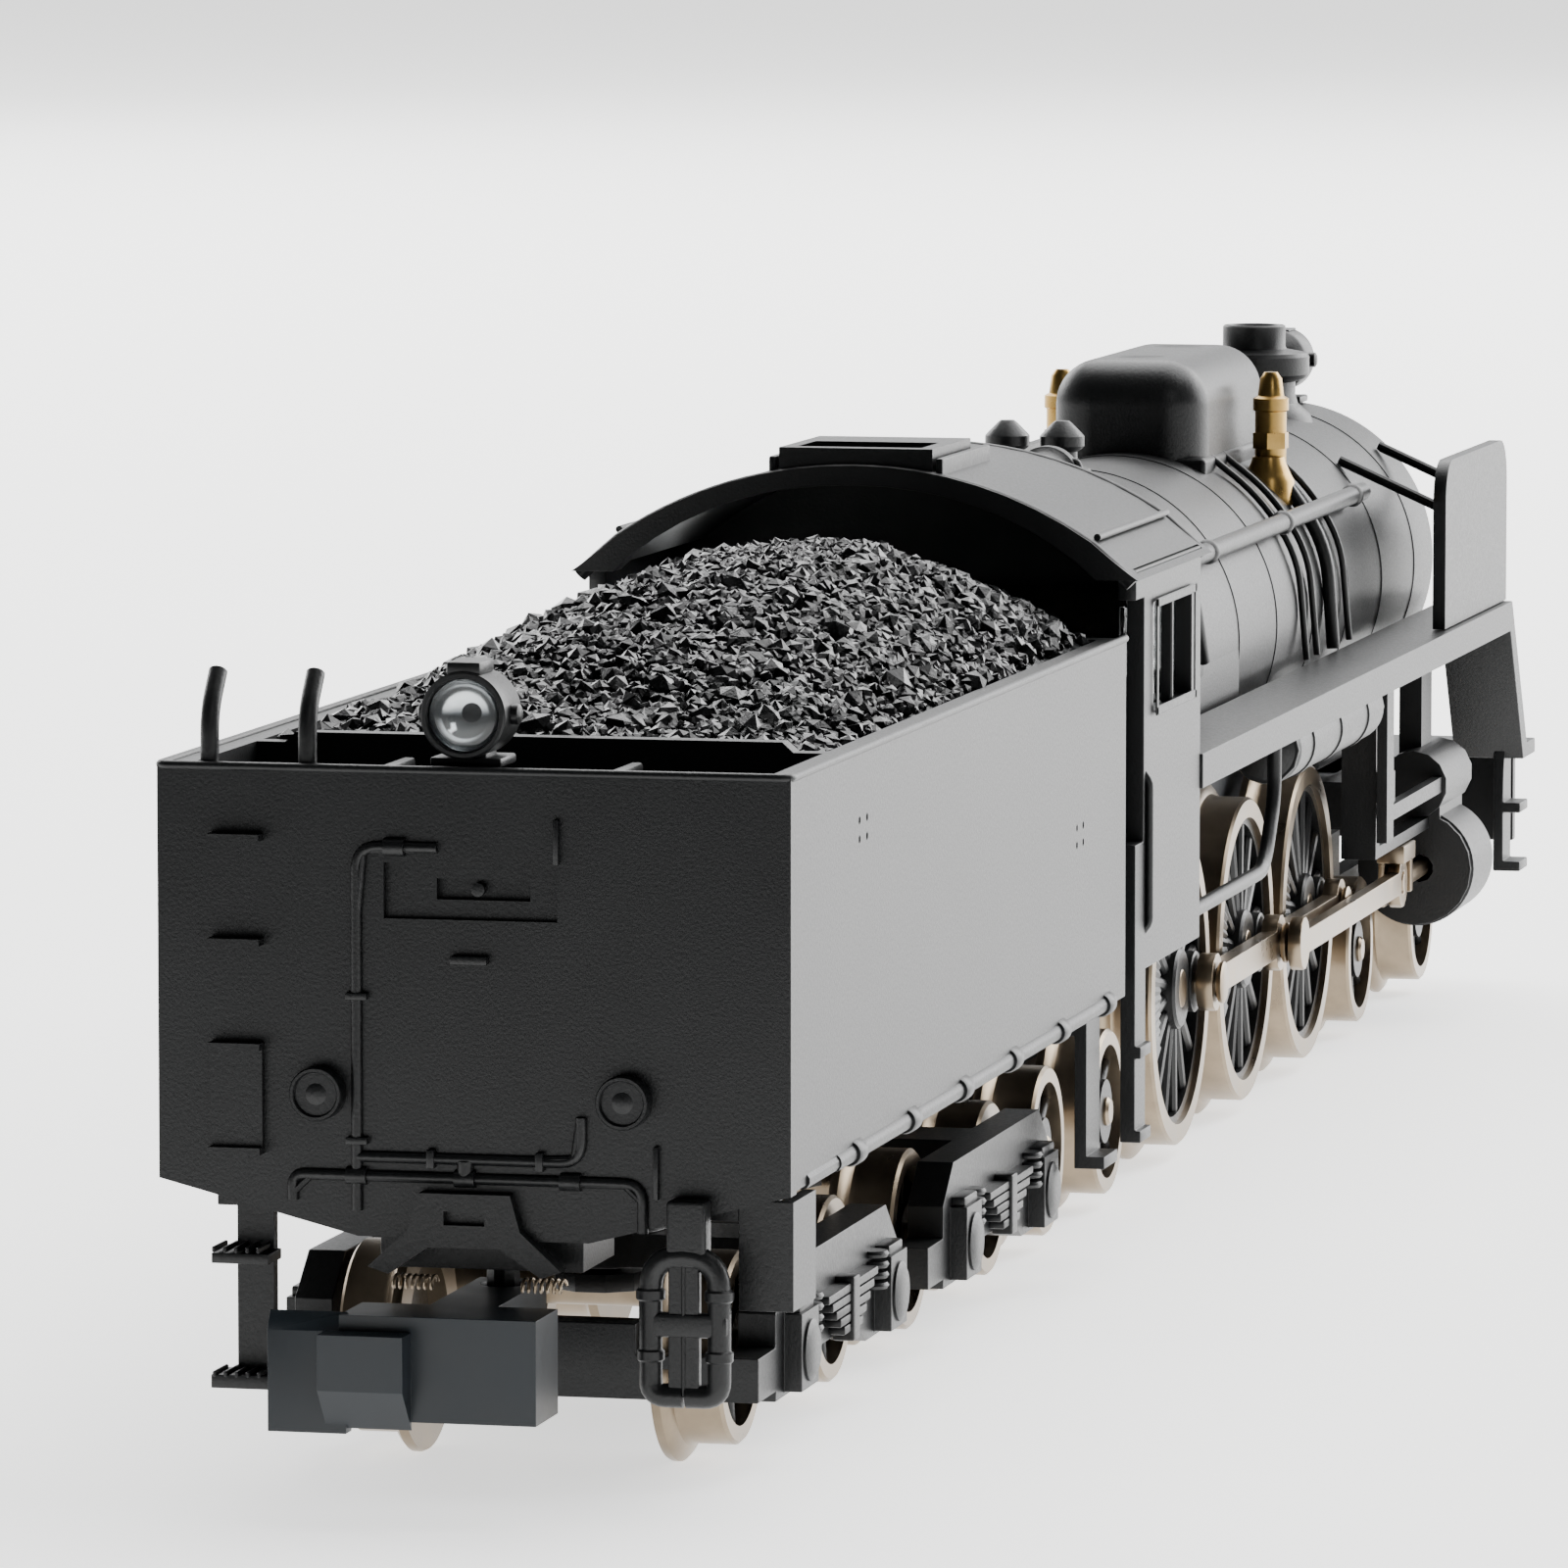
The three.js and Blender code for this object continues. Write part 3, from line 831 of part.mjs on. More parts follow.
// The hook coupler swings about its pin; its head is a shallow box with a wedge on its face.
const couplerEnd = tenderRear - COUPLER_OUT;
{
  const z = [2.35, 5.35];
  const head = cut(box([couplerEnd + 0.9, couplerEnd + 3.4], [-2.75, 3], z),
    box([couplerEnd + 1.4, couplerEnd + 2.9], [-2.3, 2.5], [z[0] - 1, z[1] - 0.5]));
  const wing = prismY([[couplerEnd + 0.9, z[0] - 0.4], [couplerEnd + 1.5, z[0] - 0.4], [couplerEnd + 1.5, z[1] - 0.3],
    [couplerEnd + 1.2, z[1] + 0.05], [couplerEnd + 0.9, z[1] - 0.5]], [2.8, 5.1]);
  const wedge = prismY([[couplerEnd, 3.3], [couplerEnd + 1, 2.1], [couplerEnd + 1, 4.9], [couplerEnd, 4.9]],
    [0.9, 3.4]);
  const shank = box([couplerEnd + 3, couplerPin + 1.1], [-1, 1], [4.4, 5.35]);
  part('coupler_hook', cut(join(head, wing, wedge, shank),
    bar('z', COUPLER_PIN_R + RUNNING, [0, 9], [couplerPin, 0, 0])), bluePlastic);
}

for (const [side, sign] of Object.entries(sides)) {
  part(`coupler_spring_${side}`, bar('y', 0.24, [sign * 1.2, sign * 2.6],
    [tenderRear + 0.6, 0, 5.75], 10), nickel);
}

const frontPinZ = 5.7;
part('front_coupler', join(
  box([beamFace + SEAT, beamFace + 0.9], [-1.7, 1.7], [frontPinZ - 0.5, frontPinZ + 2.3]),
  box([beamFace + 0.5, beamFace + COUPLER_OUT - 1], [-0.8, 0.8], [frontPinZ, frontPinZ + 1.7]),
  prismZ([[beamFace + 3, -1.1], [beamFace + COUPLER_OUT - 0.6, -1.5], [beamFace + COUPLER_OUT, -1.2],
    [beamFace + COUPLER_OUT, 0.4], [beamFace + COUPLER_OUT - 0.5, 1.3], [beamFace + 3, 1.1]],
  [frontPinZ - 0.4, frontPinZ + 2.1])), blackMetal);

// The drawbar joins the frame's tail to the pin under the tender.
{
  const pinA = frameRear + DRAWBAR_SETBACK;
  const pinB = tenderFront - DRAWBAR_SETBACK;
  const z = [6.25, 6.85];
  const ends = [pinA, pinB].map((x) => bar('z', 1.15, z, [x, 0, 0], 14));
  const hole = bar('z', TENDER_PIN_R + RUNNING, [0, 12], [pinB, 0, 0], 10);
  const stud = bar('z', STUD_R, [z[0] + 0.2, truckClear + 1.4], [pinA, 0, 0], 10);
  part('drawbar', join(cut(join(box([pinB, pinA], [-0.8, 0.8], z), ...ends), hole), stud), copper);
}

model.position.z = FLANGE;
export default model;
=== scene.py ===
import math
import random

import bpy
from mathutils import Matrix, Vector


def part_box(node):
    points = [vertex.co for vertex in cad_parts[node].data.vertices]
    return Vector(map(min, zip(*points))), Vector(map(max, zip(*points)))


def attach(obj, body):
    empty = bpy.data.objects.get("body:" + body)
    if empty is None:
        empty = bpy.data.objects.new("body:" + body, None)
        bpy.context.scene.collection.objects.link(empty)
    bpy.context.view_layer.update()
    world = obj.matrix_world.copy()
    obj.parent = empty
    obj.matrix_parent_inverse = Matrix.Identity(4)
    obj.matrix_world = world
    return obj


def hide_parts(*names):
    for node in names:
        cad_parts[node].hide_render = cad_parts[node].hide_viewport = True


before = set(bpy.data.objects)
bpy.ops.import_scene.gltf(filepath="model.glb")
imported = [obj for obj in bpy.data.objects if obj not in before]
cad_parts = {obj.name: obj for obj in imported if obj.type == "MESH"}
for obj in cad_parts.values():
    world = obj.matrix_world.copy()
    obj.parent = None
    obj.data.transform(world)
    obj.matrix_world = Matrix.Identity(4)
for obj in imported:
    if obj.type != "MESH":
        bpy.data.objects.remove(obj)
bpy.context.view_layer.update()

MM = 0.001

# ---------------------------------------------------------------- stage and light
# A white sweep lit from above and from the far right, so that the model's flanks and tops
# mirror bright walls while its rear faces look back into a dimmer room.


def colour(code):
    """An sRGB hex value as linear red, green, blue and alpha."""
    channels = [(code >> shift & 255) / 255 for shift in (16, 8, 0)]
    return (*[c / 12.92 if c <= 0.04045 else ((c + 0.055) / 1.055) ** 2.4 for c in channels], 1)


def add(tree, kind, inputs=None, **settings):
    """Adds one node, with its settings, and its inputs as values or as links."""
    node = tree.nodes.new(kind)
    for name, value in settings.items():
        setattr(node, name, value)
    for socket, value in (inputs or {}).items():
        if isinstance(value, bpy.types.NodeSocket):
            tree.links.new(value, node.inputs[socket])
        else:
            node.inputs[socket].default_value = value
    return node


def start_material(name, **shader):
    """A material with one Principled shader, whose uniform values sit on its own sockets."""
    material = bpy.data.materials.new(name)
    material.use_nodes = True
    tree = material.node_tree
    surface = tree.nodes["Principled BSDF"]
    for socket, value in shader.items():
        surface.inputs[socket.replace("_", " ")].default_value = value
    return material, tree, surface


def mottle(tree, surface, patch, detail, dark, light, rough=None):
    """Colours a shader between two tones in patches, in millimetres, and may vary its roughness with them."""
    where = add(tree, "ShaderNodeTexCoord").outputs["Object"]
    patches = add(tree, "ShaderNodeTexNoise",
        {"Vector": where, "Scale": 1 / (patch * MM), "Detail": detail})
    tone = add(tree, "ShaderNodeValToRGB", {"Fac": patches.outputs["Fac"]})
    tone.color_ramp.elements[0].color = colour(dark)
    tone.color_ramp.elements[1].color = colour(light)
    tree.links.new(tone.outputs["Color"], surface.inputs["Base Color"])
    if rough:
        sheen = add(tree, "ShaderNodeMapRange",
            {"Value": patches.outputs["Fac"], "To Min": rough[0], "To Max": rough[1]})
        tree.links.new(sheen.outputs["Result"], surface.inputs["Roughness"])
    return where, patches


def raise_relief(tree, surface, height, strength, depth):
    """Bumps a shader's surface by a texture, to a depth in millimetres."""
    relief = add(tree, "ShaderNodeBump", {"Height": height.outputs["Fac"], "Strength": strength,
        "Distance": depth * MM})
    tree.links.new(relief.outputs["Normal"], surface.inputs["Normal"])


FLOOR_WIDTH = 14000
bpy.ops.object.select_all(action="DESELECT")
bpy.ops.mesh.primitive_plane_add(size=FLOOR_WIDTH * MM, location=(0, 0, 0))
floor = bpy.context.object
floor.name = "floor"
white_card, tree, surface = start_material("white_card", Roughness=0.8)
surface.inputs["Specular IOR Level"].default_value = 0.15
surface.inputs["Emission Strength"].default_value = 1.4
# The card glows evenly under the model and beyond it; behind the tender its glow fades out and its colour
# darkens to grey, a painted shade.
spot = add(tree, "ShaderNodeSeparateXYZ", {"Vector": add(tree, "ShaderNodeTexCoord").outputs["Object"]})
# Painted shade: the glow fades to black and the base colour to grey behind the tender.
for socket, shade, fade_from in (("Emission Color", 0x000000, -160), ("Base Color", 0x77787A, -260)):
    reach = add(tree, "ShaderNodeMapRange", {"Value": spot.outputs["X"], "From Min": fade_from * MM,
                                             "From Max": -92 * MM})
    fade = add(tree, "ShaderNodeValToRGB", {"Fac": reach.outputs["Result"]})
    fade.color_ramp.elements[0].color = colour(shade)
    fade.color_ramp.elements[1].color = colour(0xF6F6F5)
    tree.links.new(fade.outputs["Color"], surface.inputs[socket])
floor.data.materials.append(white_card)


def softbox(name, place, aim, width, height, watts):
    light = bpy.data.lights.new(name, "AREA")
    light.shape = "RECTANGLE"
    light.size = width * MM
    light.size_y = height * MM
    light.energy = watts
    lamp_object = bpy.data.objects.new(name, light)
    lamp_object.location = Vector(place) * MM
    lamp_object.rotation_euler = (Vector(aim) - Vector(place)).to_track_quat("-Z", "Y").to_euler()
    bpy.context.collection.objects.link(lamp_object)


softbox("overhead", (520, -160, 820), (0, 0, 0), 1300, 1100, 20)
softbox("far_right", (750, -650, 330), (0, 0, 20), 1100, 620, 14)
softbox("far_left", (700, 700, 380), (0, 0, 20), 800, 500, 6)
softbox("lens_glint", (-520, -300, 330), (-67, 0, 22), 130, 200, 0.25)

world = bpy.data.worlds.new("room")
world.use_nodes = True
room = world.node_tree
facing = add(room, "ShaderNodeSeparateXYZ",
    {"Vector": add(room, "ShaderNodeTexCoord").outputs["Generated"]})
walls = add(room, "ShaderNodeMapRange", {"Value": facing.outputs["X"], "From Min": -0.35, "From Max": 0.85,
                                         "To Min": 0.04, "To Max": 1.3})
room.links.new(walls.outputs["Result"], room.nodes["Background"].inputs["Strength"])
room.nodes["Background"].inputs["Color"].default_value = colour(0xF8F9FA)
bpy.context.scene.world = world

camera = bpy.data.objects.new("camera", bpy.data.cameras.new("camera"))
camera.data.sensor_width = 36
camera.data.lens = 234
camera.data.clip_start = 10 * MM
camera.data.clip_end = 40
camera.location = Vector((-345.4, -74.0, 49.0)) * MM
camera.rotation_euler = Vector((0.9692, 0.2261, -0.0979)).to_track_quat("-Z", "Y").to_euler()
bpy.context.collection.objects.link(camera)
bpy.context.scene.camera = camera

# ---------------------------------------------------------------- tender body
# The tender's tank is one moulding in black ABS with a fine spark-eroded grain, which gives the
# faces a dry, gritty sheen and leaves thin bright lines along the rounded edges.


def alone(piece):
    bpy.ops.object.select_all(action="DESELECT")
    piece.select_set(True)
    bpy.context.view_layer.objects.active = piece


def smooth(piece, degrees=32):
    alone(piece)
    bpy.ops.object.shade_smooth_by_angle(angle=math.radians(degrees))


def joined(pieces):
    """One object out of several."""
    bpy.ops.object.select_all(action="DESELECT")
    for piece in pieces:
        piece.select_set(True)
    bpy.context.view_layer.objects.active = pieces[0]
    if len(pieces) > 1:
        bpy.ops.object.join()
    return pieces[0]


def settle(piece, name, body, material, stands_for=()):
    """Names and paints a finished piece, and gives it to the body that carries it."""
    smooth(piece)
    flats = piece.modifiers.new("flats", "WEIGHTED_NORMAL")
    flats.keep_sharp = True
    flats.weight = 100
    bpy.ops.object.modifier_apply(modifier="flats")
    piece.name = name
    piece.data.name = name
    piece.data.materials.clear()
    piece.data.materials.append(material)
    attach(piece, body)
    if stands_for:
        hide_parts(*stands_for)
    return piece


def rounded_copy(node, edge=0.08, merge_flats=True):
    """A copy of a moulding with its corners welded, its flats merged and its sharp edges rounded."""
    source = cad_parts[node]
    piece = bpy.data.objects.new(node + "_moulding", source.data.copy())
    bpy.context.collection.objects.link(piece)
    alone(piece)
    bpy.ops.mesh.customdata_custom_splitnormals_clear()
    bpy.ops.object.mode_set(mode="EDIT")
    bpy.ops.mesh.select_all(action="SELECT")
    bpy.ops.mesh.remove_doubles(threshold=0.0002 * MM)
    if merge_flats:
        bpy.ops.mesh.dissolve_limited(angle_limit=math.radians(0.5))
    bpy.ops.object.mode_set(mode="OBJECT")
    if not edge:
        return piece
    rounding = piece.modifiers.new("rounding", "BEVEL")
    rounding.width = edge * MM
    rounding.segments = 2
    rounding.limit_method = "ANGLE"
    rounding.angle_limit = math.radians(38)
    rounding.use_clamp_overlap = True
    rounding.harden_normals = False
    bpy.ops.object.modifier_apply(modifier="rounding")
    return piece


def block(x, y, z, edge=0.08, steps=2):
    """A block between two places on each axis, in millimetres, with all its edges rounded."""
    low = Vector([min(pair) for pair in (x, y, z)])
    high = Vector([max(pair) for pair in (x, y, z)])
    bpy.ops.object.select_all(action="DESELECT")
    bpy.ops.mesh.primitive_cube_add(size=1, location=(low + high) / 2 * MM)
    piece = bpy.context.object
    piece.scale = (high - low) * MM
    bpy.ops.object.transform_apply(location=True, rotation=True, scale=True)
    if edge:
        bpy.ops.object.mode_set(mode="EDIT")
        bpy.ops.mesh.select_all(action="SELECT")
        bpy.ops.mesh.bevel(offset=edge * MM, segments=steps, affect="EDGES", clamp_overlap=True)
        bpy.ops.object.mode_set(mode="OBJECT")
    return piece


def bent(points, radius, bend=0.6, rings=4):
    """A round rod through points, in millimetres, with its corners bent to a radius."""
    at = [Vector(p) for p in points]
    path = [at[0]]
    for before, corner, after in zip(at, at[1:], at[2:]):
        reach = min(bend, (before - corner).length / 2.1, (after - corner).length / 2.1)
        enter = corner + (before - corner).normalized() * reach
        leave = corner + (after - corner).normalized() * reach
        for step in range(7):
            t = step / 6
            path.append(enter * (1 - t) ** 2 + corner * 2 * t * (1 - t) + leave * t ** 2)
    path.append(at[-1])
    curve = bpy.data.curves.new("rod", "CURVE")
    curve.dimensions = "3D"
    curve.bevel_depth = radius * MM
    curve.bevel_resolution = rings
    curve.use_fill_caps = True
    spline = curve.splines.new("POLY")
    spline.points.add(len(path) - 1)
    for point, place in zip(spline.points, path):
        point.co = (*(place * MM), 1)
    piece = bpy.data.objects.new("rod", curve)
    bpy.context.collection.objects.link(piece)
    alone(piece)
    bpy.ops.object.convert(target="MESH")
    bpy.ops.object.mode_set(mode="EDIT")
    bpy.ops.mesh.select_all(action="SELECT")
    bpy.ops.mesh.remove_doubles(threshold=0.0002 * MM)
    bpy.ops.mesh.normals_make_consistent(inside=False)
    bpy.ops.object.mode_set(mode="OBJECT")
    return bpy.context.object


def turned(profile, axis, centre, steps=48):
    """Spins a half-section of (radius, distance along the axis), in millimetres, into a solid."""
    along = Vector(axis)
    outward = Vector((1, 0, 0)) if abs(along.z) > 0.5 else Vector((0, 0, 1))
    places = [(Vector(centre) + along * d + outward * r) * MM for r, d in profile]
    section = bpy.data.meshes.new("section")
    section.from_pydata(places, [(i, i + 1) for i in range(len(places) - 1)], [])
    piece = bpy.data.objects.new("section", section)
    bpy.context.collection.objects.link(piece)
    alone(piece)
    bpy.ops.object.mode_set(mode="EDIT")
    bpy.ops.mesh.select_all(action="SELECT")
    bpy.ops.mesh.spin(steps=steps, angle=math.tau, center=Vector(centre) * MM, axis=along)
    bpy.ops.mesh.select_all(action="SELECT")
    bpy.ops.mesh.remove_doubles(threshold=0.0002 * MM)
    bpy.ops.mesh.normals_make_consistent(inside=False)
    bpy.ops.object.mode_set(mode="OBJECT")
    return piece


def place_of(node):
    """A node's lowest and highest corners, in millimetres."""
    low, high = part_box(node)
    return Vector(low) / MM, Vector(high) / MM


black_abs, tree, surface = start_material("spark_eroded_black_abs", IOR=1.41)
where = add(tree, "ShaderNodeTexCoord").outputs["Object"]
# The mould's grain is about 0.1 mm, and slow patches several millimetres wide vary the sheen.
GRAIN = 0.1
grain = add(tree, "ShaderNodeTexNoise", {"Vector": where, "Scale": 1 / (GRAIN * MM), "Detail": 3,
    "Roughness": 0.6})
patches = add(tree, "ShaderNodeTexNoise", {"Vector": where, "Scale": 1 / (5 * MM), "Detail": 4,
    "Roughness": 0.55})
tone = add(tree, "ShaderNodeValToRGB", {"Fac": patches.outputs["Fac"]})
tone.color_ramp.elements[0].position = 0.3
tone.color_ramp.elements[0].color = colour(0x0B0C0D)
tone.color_ramp.elements[1].position = 0.72
tone.color_ramp.elements[1].color = colour(0x141516)
tree.links.new(tone.outputs["Color"], surface.inputs["Base Color"])
sheen = add(tree, "ShaderNodeMapRange", {"Value": grain.outputs["Fac"], "To Min": 0.24, "To Max": 0.5})
tree.links.new(sheen.outputs["Result"], surface.inputs["Roughness"])
raise_relief(tree, surface, grain, 0.5, 0.02)


def moulded(piece, name, body, stands_for=()):
    """A finished moulding in black plastic."""
    settle(piece, name, body, black_abs, stands_for)


tank_low, tank_high = place_of("tender_body")
rear_face = tank_low.x + 0.5
tank_rear = rear_face + 0.05
tank_side = tank_high.y - 0.1
moulded(rounded_copy("tender_body", 0, merge_flats=False), "tender_tank", "tender", ["tender_body"])

# ---------------------------------------------------------------- tender rear fittings
# Thin pipes with clips and unions, two tail-lamp bosses and small ribs stand on the rear panel.
# They are moulded with the tank and take its grain, so they only show by their lit edges.
panel = tank_rear
pipe_x = panel - 0.06
PIPE = 0.165
fittings = []
conduit_top = 18.85
conduit_y = 3.4
fittings.append(bent([(pipe_x, 1.0, conduit_top), (pipe_x, conduit_y, conduit_top),
    (pipe_x, conduit_y, 8.4)], PIPE, 0.7))
fittings.append(turned([(0, -0.3), (0.27, -0.3), (0.27, 0.3), (0, 0.3)], (0, 1, 0),
    (pipe_x - 0.03, 2.25, conduit_top), 20))
for height in (14.45, 10.3):
    fittings.append(block((panel + 0.05, pipe_x - 0.2), (conduit_y - 0.35, conduit_y + 0.3),
        (height, height + 0.22), 0.05))
low_pipe = 9.95
fittings.append(bent([(pipe_x, conduit_y, low_pipe), (pipe_x, -3.2, low_pipe), (pipe_x, -3.2, 11.25)], PIPE,
    0.7))
for y in (1.2, -2.0):
    fittings.append(block((panel + 0.05, pipe_x - 0.2), (y - 0.12, y + 0.12),
        (low_pipe - 0.28, low_pipe + 0.28), 0.05))
drain = 9.4
fittings.append(bent([(pipe_x, 5.3, drain - 0.75), (pipe_x, 5.3, drain), (pipe_x, -5, drain),
    (pipe_x, -5, drain - 1.4)], PIPE, 0.6))
for y in (0.2, 3.4, -2.9):
    fittings.append(turned([(0, -0.3), (0.26, -0.3), (0.26, 0.3), (0, 0.3)], (0, 1, 0), (pipe_x, y, drain),
        20))
fittings.append(turned([(0, -0.1), (0.24, -0.1), (0.24, 0.5), (0, 0.5)], (0, 0, 1), (pipe_x, 0.2, drain),
    20))
for side in (1, -1):
    fittings.append(turned([(0, 0.5), (0.28, 0.47), (0.46, 0.36), (0.53, 0.18), (0.6, 0.18), (0.62, 0.52),
        (0.66, 0.58),
                            (0.74, 0.58), (0.78, 0.5), (0.78, -0.05), (0, -0.05), (0, 0.5)], (-1, 0, 0),
                            (panel, side * 4.5, 11.75), 48))
fittings.append(block((panel + 0.05, panel - 0.22), (-2.58, -2.42), (18.45, 19.75), 0.04))
fittings.append(block((panel + 0.05, panel - 0.3), (-0.5, 0.6), (15.55, 15.8), 0.05))
fittings.append(turned([(0, 0), (0.2, 0), (0.2, 0.3), (0, 0.34)], (-1, 0, 0), (panel + 0.55, -0.1, 17.65),
    20))
fittings.append(block((panel + 0.05, panel - 0.2), (-5.48, -5.32), (8.95, 10.5), 0.05))
moulded(joined(fittings), "tender_rear_fittings", "tender")

# ---------------------------------------------------------------- beading
# A slim bead runs round the tank's top edge, and an air pipe with screwed joints runs along
# the foot of each flank, all in the same black plastic.
tank_top = tank_high.z - 0.3
BEAD = 0.13
beads = []
inset = 0.02
corners = [(panel + inset, -tank_side + inset), (panel + inset, tank_side - inset),
           (tank_high.x - inset, tank_side - inset), (tank_high.x - inset, -tank_side + inset)]
beads.append(bent([(*corners[3], tank_top), (*corners[0], tank_top), (*corners[1], tank_top),
    (*corners[2], tank_top)],
                  BEAD, 0.3))
for side in (1, -1):
    y = side * (tank_side - 0.12)
    pipe_z = 9.35
    beads.append(bent([(tank_low.x + 6.4, y, pipe_z), (tank_high.x - 2, y, pipe_z)], 0.28, 0.1, 6))
    for i in range(6):
        x = tank_low.x + 9 + i * 7.4
        beads.append(turned([(0, -0.5), (0.36, -0.5), (0.4, -0.4), (0.4, 0.4), (0.36, 0.5), (0, 0.5)],
            (1, 0, 0), (x, y, pipe_z), 24))
moulded(joined(beads), "tender_beading", "tender")

# ---------------------------------------------------------------- tender deck
# Behind the coal bulkhead the deck carries two round water fillers with hinged lids; both the
# lids and their clamps are part of the same black moulding.
deck = []
filler_x = tank_low.x + 4.5
for side in (1, -1):
    y = side * 3.4
    deck.append(turned([(0, -2), (1.62, -2), (1.62, 0), (1.75, 0.02), (1.75, 0.22), (1.5, 0.32), (0, 0.36)],
                       (0, 0, 1), (filler_x, y, 20.3), 40))
    deck.append(block((filler_x - 1.85, filler_x + 1.85), (y - 0.2, y + 0.2), (20.45, 20.85), 0.1))
moulded(joined(deck), "water_fillers", "tender")

# ---------------------------------------------------------------- coal
# The load is crushed coal stuck on a heap-shaped moulding: sharp, glossy black granules
# 0.3 to 0.9 mm across whose broken faces throw small bright sparkles.
coal, tree, surface = start_material("glossy_crushed_coal", IOR=1.5)
surface.inputs["Specular IOR Level"].default_value = 0.28
where = add(tree, "ShaderNodeTexCoord").outputs["Object"]
lumps = add(tree, "ShaderNodeTexVoronoi", {"Vector": where, "Scale": 1 / (0.45 * MM)})
tone = add(tree, "ShaderNodeValToRGB", {"Fac": lumps.outputs["Color"]})
tone.color_ramp.elements[0].color = colour(0x050506)
tone.color_ramp.elements[1].color = colour(0x151617)
tree.links.new(tone.outputs["Color"], surface.inputs["Base Color"])
gloss = add(tree, "ShaderNodeMapRange", {"Value": lumps.outputs["Distance"], "To Min": 0.1, "To Max": 0.34})
tree.links.new(gloss.outputs["Result"], surface.inputs["Roughness"])
cracks = add(tree, "ShaderNodeTexNoise", {"Vector": where, "Scale": 1 / (0.12 * MM), "Detail": 2})
raise_relief(tree, surface, cracks, 0.5, 0.03)

heap = rounded_copy("coal_load", 0.05)
heap_low, heap_high = place_of("coal_load")
settle(heap, "coal_heap", "tender", coal, ["coal_load"])

dice = random.Random(5)
bpy.ops.object.select_all(action="DESELECT")
bpy.ops.mesh.primitive_ico_sphere_add(subdivisions=1, radius=0.5 * MM)
lump = bpy.context.object
lump_corners = [v.co.copy() for v in lump.data.vertices]
lump_faces = [tuple(f.vertices) for f in lump.data.polygons]
bpy.data.objects.remove(lump)
corners, faces = [], []
GRANULES = 6800
for _ in range(GRANULES):
    x = dice.uniform(heap_low.x + 0.3, heap_high.x - 0.3)
    y = dice.uniform(heap_low.y + 0.3, heap_high.y - 0.3)
    _, place, normal, _ = heap.ray_cast(Vector((x, y, 40)) * MM, Vector((0, 0, -1)))
    size = dice.uniform(0.42, 0.86) * (1.3 if dice.random() < 0.08 else 0.88)
    stretch = Vector([dice.uniform(0.6, 1.15) for _ in range(3)]) * size
    turn = Matrix.Rotation(dice.uniform(0, math.tau), 3, Vector([dice.uniform(-1, 1) for _ in range(3)]))
    lift = place + normal * size * 0.1 * MM
    lift.z = min(lift.z, (heap_high.z + 0.1 - size / 2) * MM)
    base = len(corners)
    for corner in lump_corners:
        knock = dice.uniform(0.72, 1.1)
        corners.append(lift + turn @ Vector([c * s * knock for c, s in zip(corner, stretch)]))
    faces.extend([tuple(base + i for i in face) for face in lump_faces])
granules_mesh = bpy.data.meshes.new("granules")
granules_mesh.from_pydata(corners, [], faces)
granules = bpy.data.objects.new("granules", granules_mesh)
bpy.context.collection.objects.link(granules)
settle(granules, "coal_granules", "tender", coal)
for face in granules.data.polygons:
    face.use_smooth = False

# ---------------------------------------------------------------- lamps
# Each lamp is a black drum with a visor and side trunnions; inside sits a vacuum-plated
# reflector with a dark bulb hole, behind a clear domed lens pressed into the rim.
mirror_plate, tree, surface = start_material("vacuum_plated_reflector", Metallic=1.0, Roughness=0.16)
mottle(tree, surface, 0.6, 2, 0xB9BCBE, 0xE4E6E7)

clear_lens, tree, surface = start_material("clear_moulded_lens", Roughness=0.03, IOR=1.49)
surface.inputs["Transmission Weight"].default_value = 1.0
_, flow = mottle(tree, surface, 0.9, 2, 0xF1F5F6, 0xFFFFFF)
raise_relief(tree, surface, flow, 0.15, 0.02)


